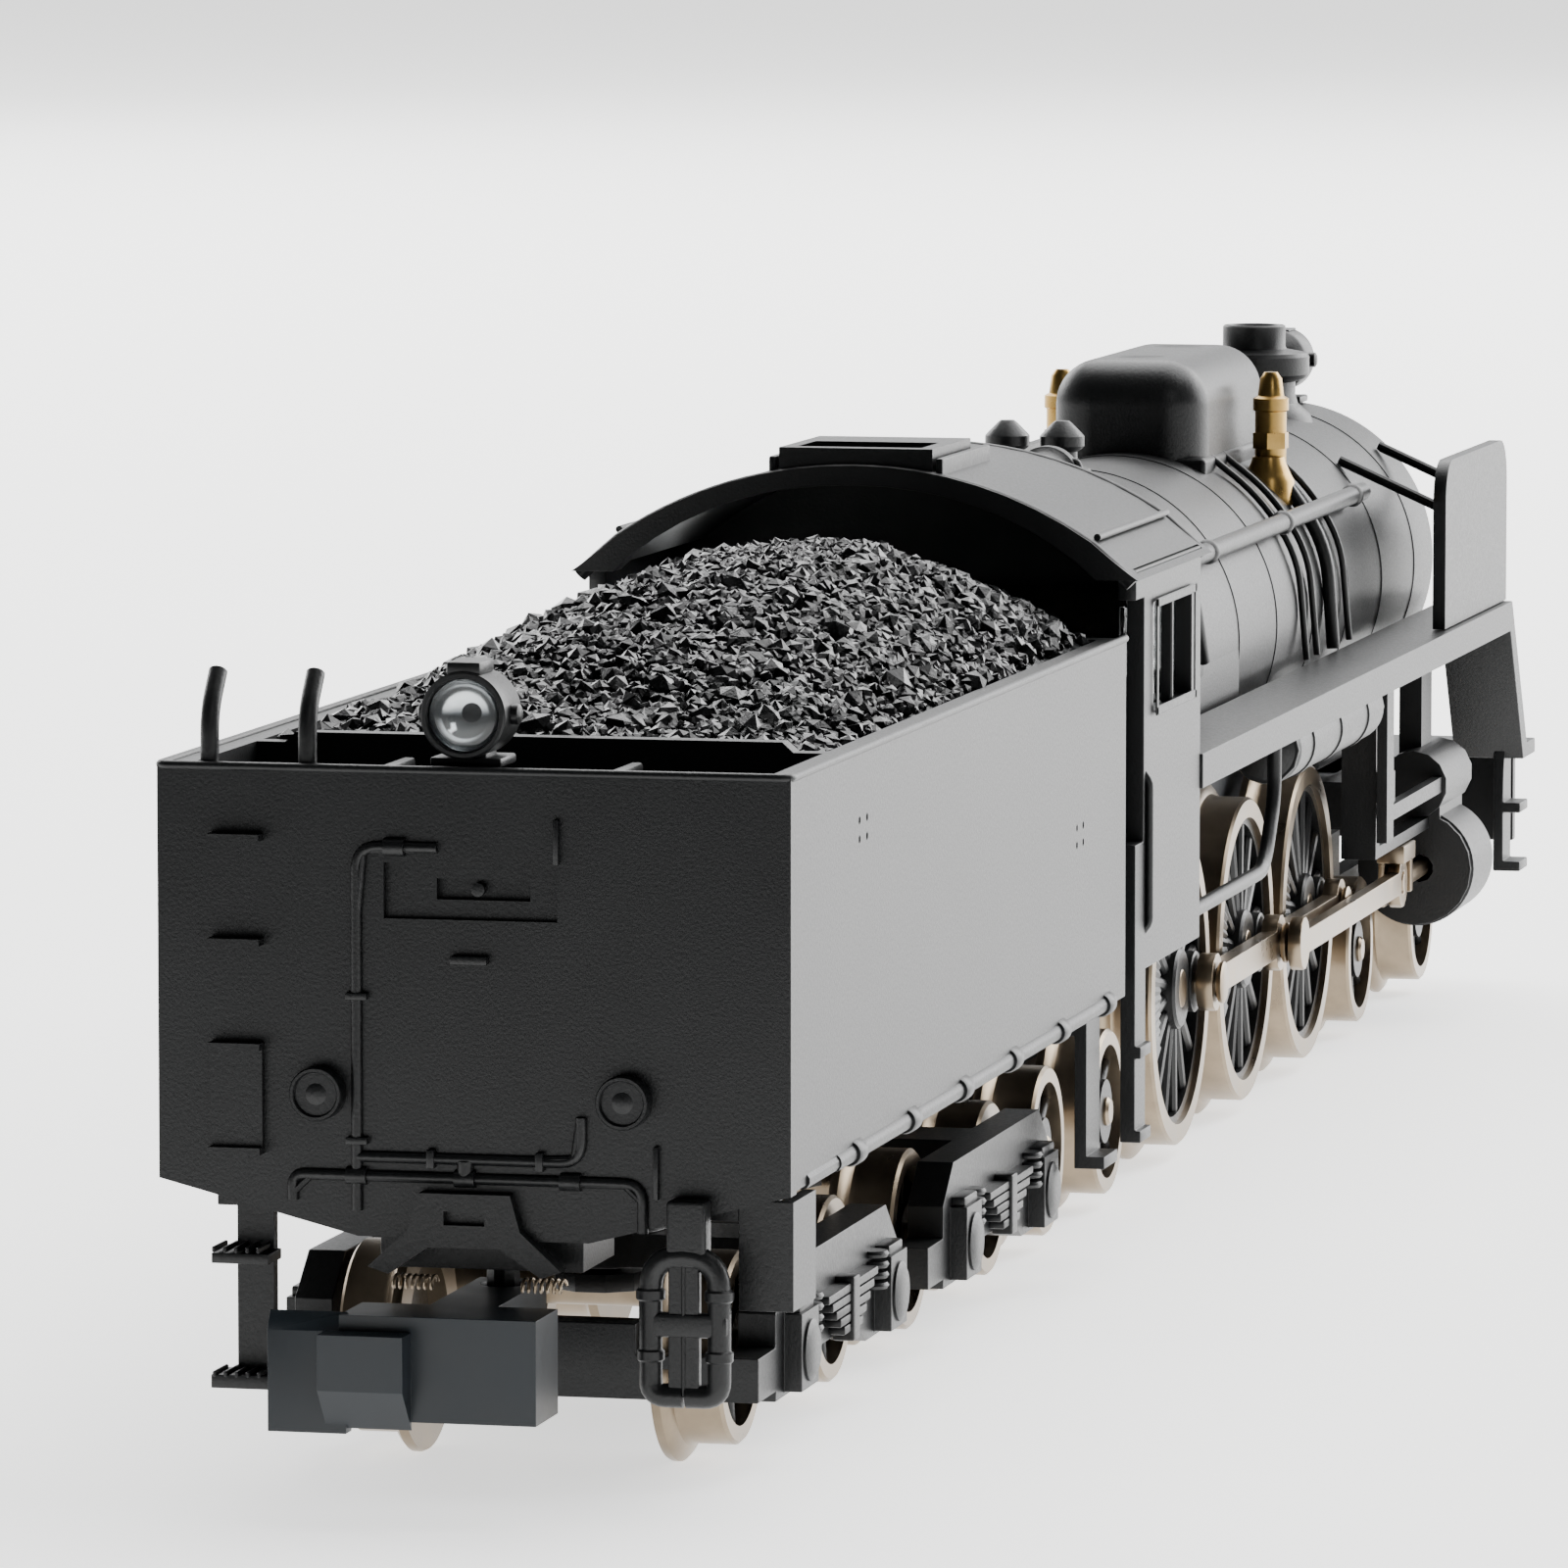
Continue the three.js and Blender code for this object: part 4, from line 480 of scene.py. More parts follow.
def lamp(node, body, facing):
    low, high = place_of(node)
    lens_low, lens_high = place_of(node + "_lens")
    mouth = high.x if facing > 0 else low.x
    y = (lens_low.y + lens_high.y) / 2
    z = (lens_low.z + lens_high.z) / 2
    radius = high.z - z
    axis = (facing, 0, 0)
    shell = turned([(0, -2.6), (0.7, -2.6), (0.82, -2.5), (radius - 0.06, -1.95), (radius, -1.85),
        (radius, -0.05),
                    (radius - 0.06, 0), (radius - 0.16, 0), (radius - 0.2, -0.06), (radius - 0.22, -1.0),
                    (0, -1.0)],
                   axis, (mouth, y, z), 56)
    visor = block((mouth - facing * 1.7, mouth - facing * 0.1), (y - 0.5, y + 0.5),
        (z + radius - 0.1, z + radius + 0.28 * (facing < 0)), 0.08)
    knobs = [turned([(0, 0), (0.3, 0), (0.3, 0.24), (0.2, 0.3), (0, 0.3)], (0, side, 0),
                    (mouth - facing * 0.9, y + side * (radius - 0.05), z), 20) for side in (1, -1)]
    bracket = [block((mouth - facing * 0.35, mouth - facing * 2.1), (y - 1.05, y + 1.05),
        (low.z, low.z + 0.28)),
               block((mouth - facing * 0.6, mouth - facing * 1.8), (y - 0.55, y + 0.55),
                   (low.z, z - radius + 0.25))]
    moulded(joined([shell, visor, *knobs, *bracket]), node + "_case", body, [node])
    bowl = turned([(radius - 0.24, -0.3), (radius - 0.4, -0.62), (0.5, -0.92), (0.24, -0.96), (0.24, -1.02),
                   (radius - 0.24, -1.02), (radius - 0.24, -0.3)], axis, (mouth, y, z), 48)
    settle(bowl, node + "_reflector", body, mirror_plate)
    glass = turned([(0, -0.3), (radius - 0.24, -0.3), (radius - 0.22, -0.24), (radius * 0.62, -0.1),
        (radius * 0.3, -0.03),
                    (0, -0.01)], axis, (mouth, y, z), 48)
    settle(glass, node + "_glass", body, clear_lens, [node + "_lens"])


lamp("rear_lamp", "tender", -1)
lamp("headlight", "locomotive", 1)

# ---------------------------------------------------------------- grab hooks and hoses
# Two hooked grab irons top the ladder, and an air hose hangs in a stiff closed loop from its
# bracket, with a ribbed plate behind it; both are single mouldings in flexible black plastic.
for side in ("left", "right"):
    low, high = place_of("grab_hook_" + side)
    y = (low.y + high.y) / 2
    x = low.x + 0.27
    hook = bent([(x, y, low.z), (x, y, low.z + 1.45), (x + 0.9, y, low.z + 2.55)], 0.275, 1.1)
    moulded(hook, "grab_iron_" + side, "tender", ["grab_hook_" + side])

low, high = place_of("brake_hoses")
hose_x = tank_rear - 0.55
y_near, y_far = -5.35, -7.35
hose_top = 7.45
hose_foot = low.z + 0.34
hose_bits = [
    bent([(hose_x, -6.3, hose_foot), (hose_x, y_near, hose_foot), (hose_x, y_near, hose_top),
        (hose_x, y_far, hose_top),
          (hose_x, y_far, hose_foot), (hose_x, -6.4, hose_foot)], 0.34, 0.95, 6),
    block((hose_x - 0.2, hose_x + 0.15), (-5.9, -6.8), (hose_foot, hose_top), 0.06),
    block((hose_x - 0.26, hose_x + 0.15), (-6.3, -6.4), (hose_foot, hose_top), 0.03, 1),
    block((hose_x - 0.28, tank_rear), (-5.85, -7), (hose_top - 0.3, high.z), 0.12),
    block((hose_x - 0.3, hose_x + 0.2), (-5.15, -7.65), (5.15, 5.85), 0.15)]
for y in (y_near, y_far):
    for height, radius in ((low.z + 1.5, 0.4), (hose_top - 1.1, 0.42)):
        hose_bits.append(turned([(0, -0.18), (radius - 0.06, -0.18), (radius, -0.12), (radius, 0.12),
            (radius - 0.06, 0.18),
                                 (0, 0.18)], (0, 0, 1), (hose_x, y, height), 24))
moulded(joined(hose_bits), "air_hoses", "tender", ["brake_hoses"])

# ---------------------------------------------------------------- tender underframe
# The frame plate with bogie bosses, steps and the coupler hanger is a second black moulding
# that clips under the tank. Raised treads stand on its steps.
moulded(rounded_copy("tender_underframe", 0.07), "tender_frame", "tender", ["tender_underframe"])
ribs = []
for height in (3.15, 6.75):
    for i in range(5):
        y = 6.25 + 0.33 * i
        ribs.append(block((tank_rear - 0.45, tank_rear + 0.9), (y - 0.05, y + 0.05),
            (height + 0.35, height + 0.52), 0.03, 1))
moulded(joined(ribs), "step_treads", "tender")

# ---------------------------------------------------------------- ballast, frame and other metal castings
# Die-cast zinc, blackened, gives a grey, faintly crystalline metal with soft edges. It makes
# the locomotive's frame and the ballast inside the tank.
zinc, tree, surface = start_material("blackened_die_cast_zinc", Metallic=0.85)
_, crystals = mottle(tree, surface, 0.35, 4, 0x2E3032, 0x56585B, (0.35, 0.6))
raise_relief(tree, surface, crystals, 0.3, 0.02)

settle(rounded_copy("tender_weight", 0.3), "ballast", "tender", zinc, ["tender_weight"])
settle(rounded_copy("loco_frame", 0.08), "main_frame", "locomotive", zinc, ["loco_frame"])

# ---------------------------------------------------------------- nickel-plated wheels
# Tyres and axles are turned brass with a warm nickel plate: bright, with fine rings left by
# the lathe and a slightly worn, duller tread.
nickel, tree, surface = start_material("turned_nickel_plate", Metallic=1.0)
where, _ = mottle(tree, surface, 1.2, 5, 0x6E6253, 0xA89882, (0.2, 0.42))
rings = add(tree, "ShaderNodeTexNoise", {"Vector": where, "Scale": 1 / (0.08 * MM), "Detail": 1})
raise_relief(tree, surface, rings, 0.12, 0.01)

WHEEL_BACK = 3.75
WHEEL_FACE = 5.75
FLANGE = 0.55
DRIVER_R = 5.6
DRIVER_AXLE_Z = DRIVER_R + FLANGE


def tyre(radius, hollow, side, x, z):
    """One wheel's tread, flange and rim, open in the middle down to a hollow radius."""
    section = [(hollow, WHEEL_BACK), (radius + FLANGE - 0.05, WHEEL_BACK),
        (radius + FLANGE, WHEEL_BACK + 0.1),
               (radius + FLANGE, WHEEL_BACK + 0.28), (radius + FLANGE - 0.15, WHEEL_BACK + 0.42),
               (radius + 0.08, WHEEL_BACK + 0.56), (radius, WHEEL_BACK + 0.72), (radius, WHEEL_FACE - 0.1),
               (radius - 0.1, WHEEL_FACE), (hollow, WHEEL_FACE), (hollow, WHEEL_BACK)]
    return turned(section, (0, side, 0), (x, 0, z), 72)


def axle(x, z, radius, reach):
    return turned([(0, -reach), (radius - 0.1, -reach), (radius, 0.1 - reach), (radius, reach - 0.1),
        (radius - 0.1, reach),
                   (0, reach)], (0, 1, 0), (x, 0, z), 32)


small_wheels = {"leading_axle_front": "leading_front_wheels", "leading_axle_rear": "leading_rear_wheels",
                "trailing_axle_front": "trailing_front_wheels",
                "trailing_axle_rear": "trailing_rear_wheels",
                "rear_bogie_axle_rear": "rear_bogie_rear_wheels",
                "rear_bogie_axle_front": "rear_bogie_front_wheels",
                "front_bogie_axle_rear": "front_bogie_rear_wheels",
                "front_bogie_axle_front": "front_bogie_front_wheels"}
for node, body in small_wheels.items():
    low, high = place_of(node)
    x, z = (low.x + high.x) / 2, (low.z + high.z) / 2
    radius = (high.x - low.x) / 2 - FLANGE
    plates = [turned([(0, 4.35), (2.4, 4.35), (2.4, 5.15), (1.1, 5.3), (1.1, 5.65), (0, 5.65)],
                     (0, side, 0), (x, 0, z), 40) for side in (1, -1)]
    metal = [tyre(radius, 2.3, side, x, z) for side in (1, -1)]
    metal.append(axle(x, z, 0.5, high.y - 0.02))
    metal.append(axle(x, z, 0.75, 4.6))
    settle(joined(metal), node + "_tyres", body, nickel, [node])
    for side in (1, -1):
        for i in range(9):
            angle = math.tau * i / 9
            spoke = bent([(x + 0.9 * math.cos(angle), side * 5.2, z + 0.9 * math.sin(angle)),
                          (x + 2.35 * math.cos(angle), side * 5.25, z + 2.35 * math.sin(angle))], 0.2)
            plates.append(spoke)
    moulded(joined(plates), node + "_centres", body)

# ---------------------------------------------------------------- tender bogies
# A bogie's two side frames, bolster and end beam are one moulding. Axle-box lids, leaf springs
# and coil springs stand on the frames as relief.
for node in ("rear_bogie", "front_bogie"):
    moulded(rounded_copy(node, 0.09), node + "_frame", node, [node])
    rear, _ = place_of(node + "_axle_rear")
    front, _ = place_of(node + "_axle_front")
    axle_z = 3.4
    side_face = 7.25
    relief_bits = []
    for side in (1, -1):
        for x in (rear.x + 3.4, front.x + 3.4):
            relief_bits.append(turned([(0, 0), (0.92, 0), (0.92, 0.12), (0.7, 0.22), (0, 0.22)],
                (0, side, 0),
                                      (x, side * 7.75, axle_z), 32))
            relief_bits.append(block((x - 0.9, x + 0.9), (side * 7.1, side * 7.7),
                (axle_z + 1.15, axle_z + 1.5)))
        middle = (rear.x + front.x) / 2 + 3.4
        for leaf in range(5):
            reach = 3.3 - leaf * 0.52
            height = axle_z + 0.9 - leaf * 0.3
            relief_bits.append(block((middle - reach, middle + reach),
                (side * (side_face - 0.1), side * (side_face + 0.5)),
                                     (height, height + 0.26), 0.05))
        relief_bits.append(block((middle - 0.4, middle + 0.4),
            (side * (side_face - 0.1), side * (side_face + 0.6)),
                                 (axle_z - 0.6, axle_z + 1.35), 0.08))
        for place in (-4.4, 4.4):
            for turn in range(4):
                height = axle_z + 0.4 + turn * 0.32
                relief_bits.append(turned([(0, -0.1), (0.42, -0.1), (0.48, 0), (0.42, 0.1), (0, 0.1)],
                    (0, 0, 1),
                                          (middle + place, side * (side_face + 0.1), height), 20))
    moulded(joined(relief_bits), node + "_springs", node)

# ---------------------------------------------------------------- rear coupler
# The sprung hook is moulded in blue-grey acetal, smooth and a little waxy, and is held by a
# pin; two nickel coil springs lie across it and push it back to the middle.
acetal, tree, surface = start_material("blue_grey_acetal", IOR=1.45)
where, _ = mottle(tree, surface, 1.6, 3, 0x11161A, 0x1A2127, (0.3, 0.45))
fine = add(tree, "ShaderNodeTexNoise", {"Vector": where, "Scale": 1 / (0.15 * MM)})
raise_relief(tree, surface, fine, 0.12, 0.01)

settle(rounded_copy("coupler_hook", 0.16), "rear_coupler", "coupler", acetal,
    ["coupler_hook"])
settle(rounded_copy("front_coupler", 0.16), "front_hook", "locomotive", acetal,
    ["front_coupler"])

for side in ("left", "right"):
    low, high = place_of("coupler_spring_" + side)
    x, z = (low.x + high.x) / 2, (low.z + high.z) / 2
    turns = 7
    helix = []
    for i in range(turns * 14 + 1):
        angle = math.tau * i / 14
        helix.append((x + 0.19 * math.cos(angle), low.y + 0.05 + (high.y - low.y - 0.1) * i / (turns * 14),
                      z + 0.19 * math.sin(angle)))
    settle(bent(helix, 0.05, 0.01, 2), "centring_spring_" + side, "tender", nickel,
        ["coupler_spring_" + side])

# ---------------------------------------------------------------- drawbar
# A stamped strip of copper alloy joins the locomotive to the tender's pin.
copper, tree, surface = start_material("stamped_copper_strip", Metallic=1.0)
mottle(tree, surface, 0.9, 4, 0x8A5B3C, 0xC08A60, (0.25, 0.45))
settle(rounded_copy("drawbar", 0.06), "drawbar_strip", "drawbar", copper, ["drawbar"])

# ---------------------------------------------------------------- boiler
# The barrel and firebox are one black moulding, turned smooth, with thin raised bands where
# the lagging sheets meet. It screws down on the frame at the saddle.
boiler_low, boiler_high = place_of("boiler")
BOILER_R = boiler_high.y
boiler_z = boiler_high.z - BOILER_R
shell = turned([(0, boiler_low.x), (BOILER_R - 0.06, boiler_low.x), (BOILER_R, boiler_low.x + 0.06),
                (BOILER_R, boiler_high.x - 0.2), (BOILER_R - 0.2, boiler_high.x), (0, boiler_high.x)],
               (1, 0, 0), (0, 0, boiler_z), 128)
firebox_front = boiler_low.x + 24
cab_front = boiler_low.x - 0.05
box_side = block((boiler_low.x, firebox_front), (-BOILER_R, BOILER_R), (boiler_low.z + 3.3, boiler_z), 0.3,
    3)
saddle = block((boiler_high.x - 10.6, boiler_high.x - 3.2), (-3.4, 3.4), (boiler_low.z, boiler_z), 0.2, 2)
belly = block((firebox_front - 1, boiler_high.x - 10), (-4.4, 4.4), (boiler_low.z + 3.3, boiler_z - 2), 0.4,
    3)
moulded(joined([shell, box_side, saddle, belly]), "boiler_barrel", "locomotive", ["boiler"])
bands = []
BAND = 0.035
for i in range(9):
    x = boiler_low.x + 1.2 + i * 7.6
    bands.append(turned([(BOILER_R - 0.1, x - 0.36), (BOILER_R + BAND, x - 0.32),
        (BOILER_R + BAND, x + 0.32),
                         (BOILER_R - 0.1, x + 0.36), (BOILER_R - 0.1, x - 0.36)], (1, 0, 0),
                         (0, 0, boiler_z), 128))
moulded(joined(bands), "lagging_bands", "locomotive")

# ---------------------------------------------------------------- smokebox door
# A dished round door with a raised rim, a ring of clamps round its edge and a central handle.
door_low, door_high = place_of("smokebox_door")
door_x = door_low.x
door_r = (door_high.y - door_low.y) / 2
door = [turned([(0, 0), (door_r, 0), (door_r, 0.28), (door_r - 0.12, 0.38), (door_r - 0.5, 0.42),
    (door_r - 0.55, 0.6),
                (door_r * 0.75, 0.92), (door_r * 0.4, 1.2), (0.9, 1.28), (0.85, 1.5), (0, 1.6)],
               (1, 0, 0), (door_x, 0, boiler_z), 96)]
for i in range(12):
    angle = math.tau * (i + 0.5) / 12
    reach = door_r - 0.3
    y, z = reach * math.cos(angle), boiler_z + reach * math.sin(angle)
    door.append(turned([(0, 0.3), (0.3, 0.3), (0.3, 0.6), (0.2, 0.7), (0, 0.7)], (1, 0, 0), (door_x, y, z),
        12))
door.append(bent([(door_x + 1.35, -2.2, boiler_z + 1.6), (door_x + 1.35, 2.2, boiler_z - 1.6)], 0.14))
door.append(bent([(door_x + 1.5, 0, boiler_z - 1.8), (door_x + 1.5, 0, boiler_z + 0.2)], 0.13))
moulded(joined(door), "smokebox_front", "locomotive", ["smokebox_door"])

# ---------------------------------------------------------------- chimney
# The chimney is a stepped stack: a flared foot on the smokebox, a narrow barrel, a drum-shaped
# cowl and a small outlet. All of it is hollow at the top.
low, high = place_of("chimney")
chimney_x = (low.x + high.x) / 2
top = high.z
stack = turned([(0, 22), (2.55, 22), (2.5, 23.2), (2.25, 23.9), (1.75, 24.35), (1.65, 24.7),
    (1.65, top - 2.25),
                (2.05, top - 2.1), (2.2, top - 1.95), (2.2, top - 1.25), (2.1, top - 1.1),
                (1.3, top - 0.95), (1.25, top - 0.85),
                (1.25, top - 0.06), (1.19, top), (1.0, top), (0.95, top - 0.06), (0.95, top - 2),
                (0, top - 2)],
               (0, 0, 1), (chimney_x, 0, 0), 72)
moulded(stack, "chimney_stack", "locomotive", ["chimney"])

# ---------------------------------------------------------------- steam and sand dome
# One long casing covers the steam dome and the sandboxes: flat ends, upright sides and a
# broad rounded crown. Two round sandbox lids sit on it.
low, high = place_of("steam_dome")
half = high.y - 0.1
casing = block((low.x, high.x), (-half, half), (boiler_z + 4, high.z), 0)
bpy.ops.object.mode_set(mode="EDIT")
bpy.ops.mesh.select_all(action="DESELECT")
bpy.ops.mesh.select_mode(type="EDGE")
bpy.ops.object.mode_set(mode="OBJECT")
for edge in casing.data.edges:
    edge.select = max(casing.data.vertices[i].co.z for i in edge.vertices) > (high.z - 0.1) * MM
bpy.ops.object.mode_set(mode="EDIT")
bpy.ops.mesh.bevel(offset=1.7 * MM, segments=12, affect="EDGES")
bpy.ops.object.mode_set(mode="OBJECT")
skirt = block((low.x + 0.1, high.x - 0.1), (-half - 0.15, half + 0.15), (boiler_z + 4, boiler_z + 6), 0.2,
    3)
lids = [turned([(0, -0.4), (1.0, -0.4), (1.0, -0.02), (0.9, 0.0), (0, 0.0)], (0, 0, 1), (x, 0, high.z), 40)
        for x in (low.x + 3.2, high.x - 3.2)]
moulded(joined([casing, skirt, *lids]), "dome_casing", "locomotive", ["steam_dome"])

# ---------------------------------------------------------------- brass valves
# The boiler feed valves are turned brass, left bright: a stepped foot, a slim stem, a hexagon
# nut and a pointed cap.
brass, tree, surface = start_material("turned_bright_brass", Metallic=1.0)
mottle(tree, surface, 0.8, 4, 0x8F6F3A, 0xC9A765, (0.2, 0.38))

for side in ("left", "right"):
    node = "feed_valve_" + side
    low, high = place_of(node)
    sign = 1 if side == "left" else -1
    y = sign * 4.05
    x = high.x - 0.65
    seat = math.sqrt(BOILER_R ** 2 - 4.9 ** 2) + boiler_z
    foot = turned([(0, seat), (1.0, seat), (1.0, seat + 0.9), (0.86, seat + 1.15), (0.66, seat + 1.6),
        (0.6, seat + 1.8), (0, seat + 1.8)],
                  (0, 0, 1), (x - 0.45, y, 0), 40)
    stem = turned([(0, seat + 0.5), (0.6, seat + 0.5), (0.6, high.z - 1.5), (0.68, high.z - 1.45),
        (0.68, high.z - 1.0),
                   (0.5, high.z - 0.9), (0.42, high.z - 0.25), (0.25, high.z), (0, high.z)], (0, 0, 1),
                   (x, y, 0), 40)
    nut = turned([(0, seat + 2.1), (0.72, seat + 2.1), (0.72, seat + 2.7), (0, seat + 2.7)], (0, 0, 1),
        (x, y, 0), 6)
    settle(joined([foot, stem, nut]), node + "_body", "locomotive", brass, [node])

for node, body in (("worm", "worm"), ("idler_gear", "idler_gear")):
    settle(rounded_copy(node, 0.05), node + "_metal", body, brass, [node])

# ---------------------------------------------------------------- safety valves and generator
# A pair of safety valves and the small turbine generator stand on the firebox, all moulded
# in the same black as the boiler.
low, high = place_of("safety_valves")
x = (low.x + high.x) / 2
valves = [block((x - 1, x + 1), (-1.9, 1.9), (boiler_z + 5, boiler_z + BOILER_R + 0.5), 0.15)]
for y in (-1, 1):
    valves.append(turned([(0, boiler_z + 5.6), (0.55, boiler_z + 5.6), (0.55, high.z - 1.1),
        (0.72, high.z - 1.0), (0.8, high.z - 0.9),
                          (0.8, high.z - 0.55), (0.72, high.z - 0.45), (0.35, high.z - 0.08),
                          (0.25, high.z), (0, high.z)],
                         (0, 0, 1), (x, y, 0), 32))
moulded(joined(valves), "safety_valve_pair", "locomotive", ["safety_valves"])

low, high = place_of("generator")
y, z = (low.y + high.y) / 2, high.z - 1.15
turbine = [turned([(0, low.x), (0.7, low.x + 0.02), (0.88, low.x + 0.2), (0.9, low.x + 2),
    (1.0, low.x + 2.2), (1.15, low.x + 2.35),
                   (1.15, high.x - 0.35), (1.0, high.x - 0.15), (0.4, high.x), (0, high.x)], (1, 0, 0),
                   (0, y, z), 40)]
turbine.append(block((low.x + 0.8, low.x + 2.4), (y - 0.5, y + 0.5), (low.z + 0.1, z - 0.5), 0.1))
turbine.append(bent([(low.x + 2.7, y - 0.6, z + 0.3), (low.x + 2.7, y - 1.0, z + 0.7),
    (low.x + 2.7, y - 1.7, z - 1.4)], 0.16))
moulded(joined(turbine), "turbine_generator", "locomotive", ["generator"])

# ---------------------------------------------------------------- boiler side rails
# A straight handrail runs along each flank of the boiler on short split-pin posts with
# ball-shaped knobs.
for side in ("left", "right"):
    node = "boiler_rail_" + side
    low, high = place_of(node)
    sign = 1 if side == "left" else -1
    reach = BOILER_R + 0.75
    y = sign * reach * math.cos(0.55)
    z = boiler_z + reach * math.sin(0.55)
    bits = [bent([(low.x, y, z), (high.x, y, z)], 0.35, 0.1, 6)]
    for along in (4, 19, 34, 49):
        x = boiler_low.x - 0.05 + along
        bits.append(bent([(x, y, z), (x, y * 0.88, boiler_z + (z - boiler_z) * 0.88)], 0.2))
        bits.append(turned([(0, -0.42), (0.25, -0.38), (0.42, -0.2), (0.46, 0), (0.42, 0.2), (0.25, 0.38),
            (0, 0.42)], (1, 0, 0),
                           (x, y, z), 24))
    moulded(joined(bits), node + "_bar", "locomotive", [node])

# ---------------------------------------------------------------- boiler pipework
# Thin sanding pipes fall from the dome, a feed pipe falls from each brass valve, and a long
# injector pipe runs under each running board; all are moulded in black.
pipework = []
dome_rear = place_of("steam_dome")[0].x
valve_x = place_of("feed_valve_left")[1].x - 0.65
for side in (1, -1):
    for x in (dome_rear + 2.2, dome_rear + 4.4, dome_rear + 11.4):
        pipework.append(bent([(x, side * 2.7, 23.9), (x, side * 4.7, 22.35), (x, side * 6.2, 20.1),
            (x + 0.3, side * 6.5, 16.2)], 0.13, 1.2))
    pipework.append(bent([(valve_x - 0.5, side * 4.6, 22.6), (valve_x - 0.5, side * 6.3, 20.2),
        (valve_x - 0.5, side * 6.6, 16.2)], 0.26, 1.4))
    pipework.append(bent([(cab_front - 4, side * 8.95, 12.6), (cab_front - 4, side * 8.95, 10.6),
        (cab_front + 14, side * 8.95, 10.6),
                          (cab_front + 16, side * 8.95, 13), (cab_front + 16, side * 8.95, 14.8)], 0.26,
                          1.2))
    pipework.append(bent([(cab_front + 1, side * 6.9, 20.6), (cab_front + 12, side * 6.75, 20.6),
        (cab_front + 14, side * 6.75, 18)], 0.24, 1.0))
moulded(joined(pipework), "boiler_pipework", "locomotive")

# ---------------------------------------------------------------- footplate
# The running boards, front deck, buffer beam and the air tanks under the boards are one
# moulding. The boards' thin edges catch the light.
moulded(rounded_copy("footplate", 0.07), "running_boards", "locomotive", ["footplate"])
low, high = place_of("footplate")
board_half = high.y
tanks = []
tank_mid = place_of("driver_axle_main")[0].x + 6.15
for side in (1, -1):
    centre = (tank_mid, side * (board_half - 1.35), 14.4)
    reach = 9
    tanks.append(turned([(0, -reach - 0.25), (0.6, -reach - 0.18), (1.1, -reach), (1.28, 0.35 - reach),
        (1.28, reach - 0.35),
                         (1.1, reach), (0.6, reach + 0.18), (0, reach + 0.25)], (1, 0, 0), centre, 40))
    for place in (-6, -0.3, 5.4):
        tanks.append(turned([(1.2, place - 0.2), (1.34, place - 0.18), (1.34, place + 0.18),
            (1.2, place + 0.2), (1.2, place - 0.2)],
                            (1, 0, 0), centre, 40))
moulded(joined(tanks), "air_tanks", "locomotive")

# ---------------------------------------------------------------- smoke deflectors
# Thin upright plates beside the smokebox, tied to it by two stays each.
for side in ("left", "right"):
    node = "smoke_deflector_" + side
    moulded(rounded_copy(node, 0.1), node + "_plate", "locomotive", [node])

# ---------------------------------------------------------------- cab
# The cab's walls, floor and steps are one moulding, with clear glazing pressed in from inside.
# Slim frames stand round the side windows and handrails flank the doorways.
moulded(rounded_copy("cab", 0.07), "cab_walls", "locomotive", ["cab"])
settle(rounded_copy("cab_glazing", 0.03), "cab_windows", "locomotive", clear_lens,
    ["cab_glazing"])
cab_low, cab_high = place_of("cab")
wall = 9.3
cab_bits = []
window_x = (cab_high.x - 8.3, cab_high.x - 1.6)
window_z = (18.25, 21.85)
for side in (1, -1):
    y = side * wall
    for x in window_x:
        cab_bits.append(block((x - 0.15, x + 0.15), (y - 0.1, y + side * 0.16),
            (window_z[0] - 0.15, window_z[1] + 0.15), 0.05, 1))
    cab_bits.append(block(((window_x[0] + window_x[1]) / 2 - 0.12, (window_x[0] + window_x[1]) / 2 + 0.12),
        (y - side * 0.4, y),
                          window_z, 0.05, 1))
    for z in window_z:
        cab_bits.append(block((window_x[0] - 0.15, window_x[1] + 0.15), (y - 0.1, y + side * 0.16),
            (z - 0.15, z + 0.15), 0.05, 1))
    rail_x = cab_low.x + 1.8
    cab_bits.append(bent([(rail_x, y - side * 0.1, 11), (rail_x, y + side * 0.12, 11.3),
        (rail_x, y + side * 0.12, 16),
                          (rail_x, y - side * 0.1, 16.3)], 0.13, 0.3))
moulded(joined(cab_bits), "cab_trim", "locomotive")

# ---------------------------------------------------------------- cab roof
# The roof is a separate arched moulding with a heavy rear rim, a raised ventilator with a
# sliding hatch, and a shallow gutter along each side.
moulded(rounded_copy("cab_roof", 0.08), "roof_shell", "locomotive", ["cab_roof"])
roof_low, roof_high = place_of("cab_roof")
EAVES = 23.15
CROWN = 26.55
roof_half = roof_high.y


def roof_arch(x, drop, steps=14):
    """Points across the roof's arch at one place along it, a drop below its top face."""
    def curve(a, b, c):
        return [tuple(p * (1 - t) ** 2 + q * 2 * t * (1 - t) + r * t ** 2 for p, q, r in zip(a, b, c))
                for t in [i / steps for i in range(steps + 1)]]
    left = curve((roof_half - 0.26, EAVES - 0.2), (roof_half - 0.5, EAVES + 0.05),
        (roof_half - 1.6, EAVES + 1))
    crown_left = curve((roof_half - 1.6, EAVES + 1), (4.4, CROWN), (0, CROWN))
    halves = left + crown_left[1:]
    mirrored = [(-y, z) for y, z in reversed(halves[:-1])]
    return [(x, y, z - drop) for y, z in halves + mirrored]


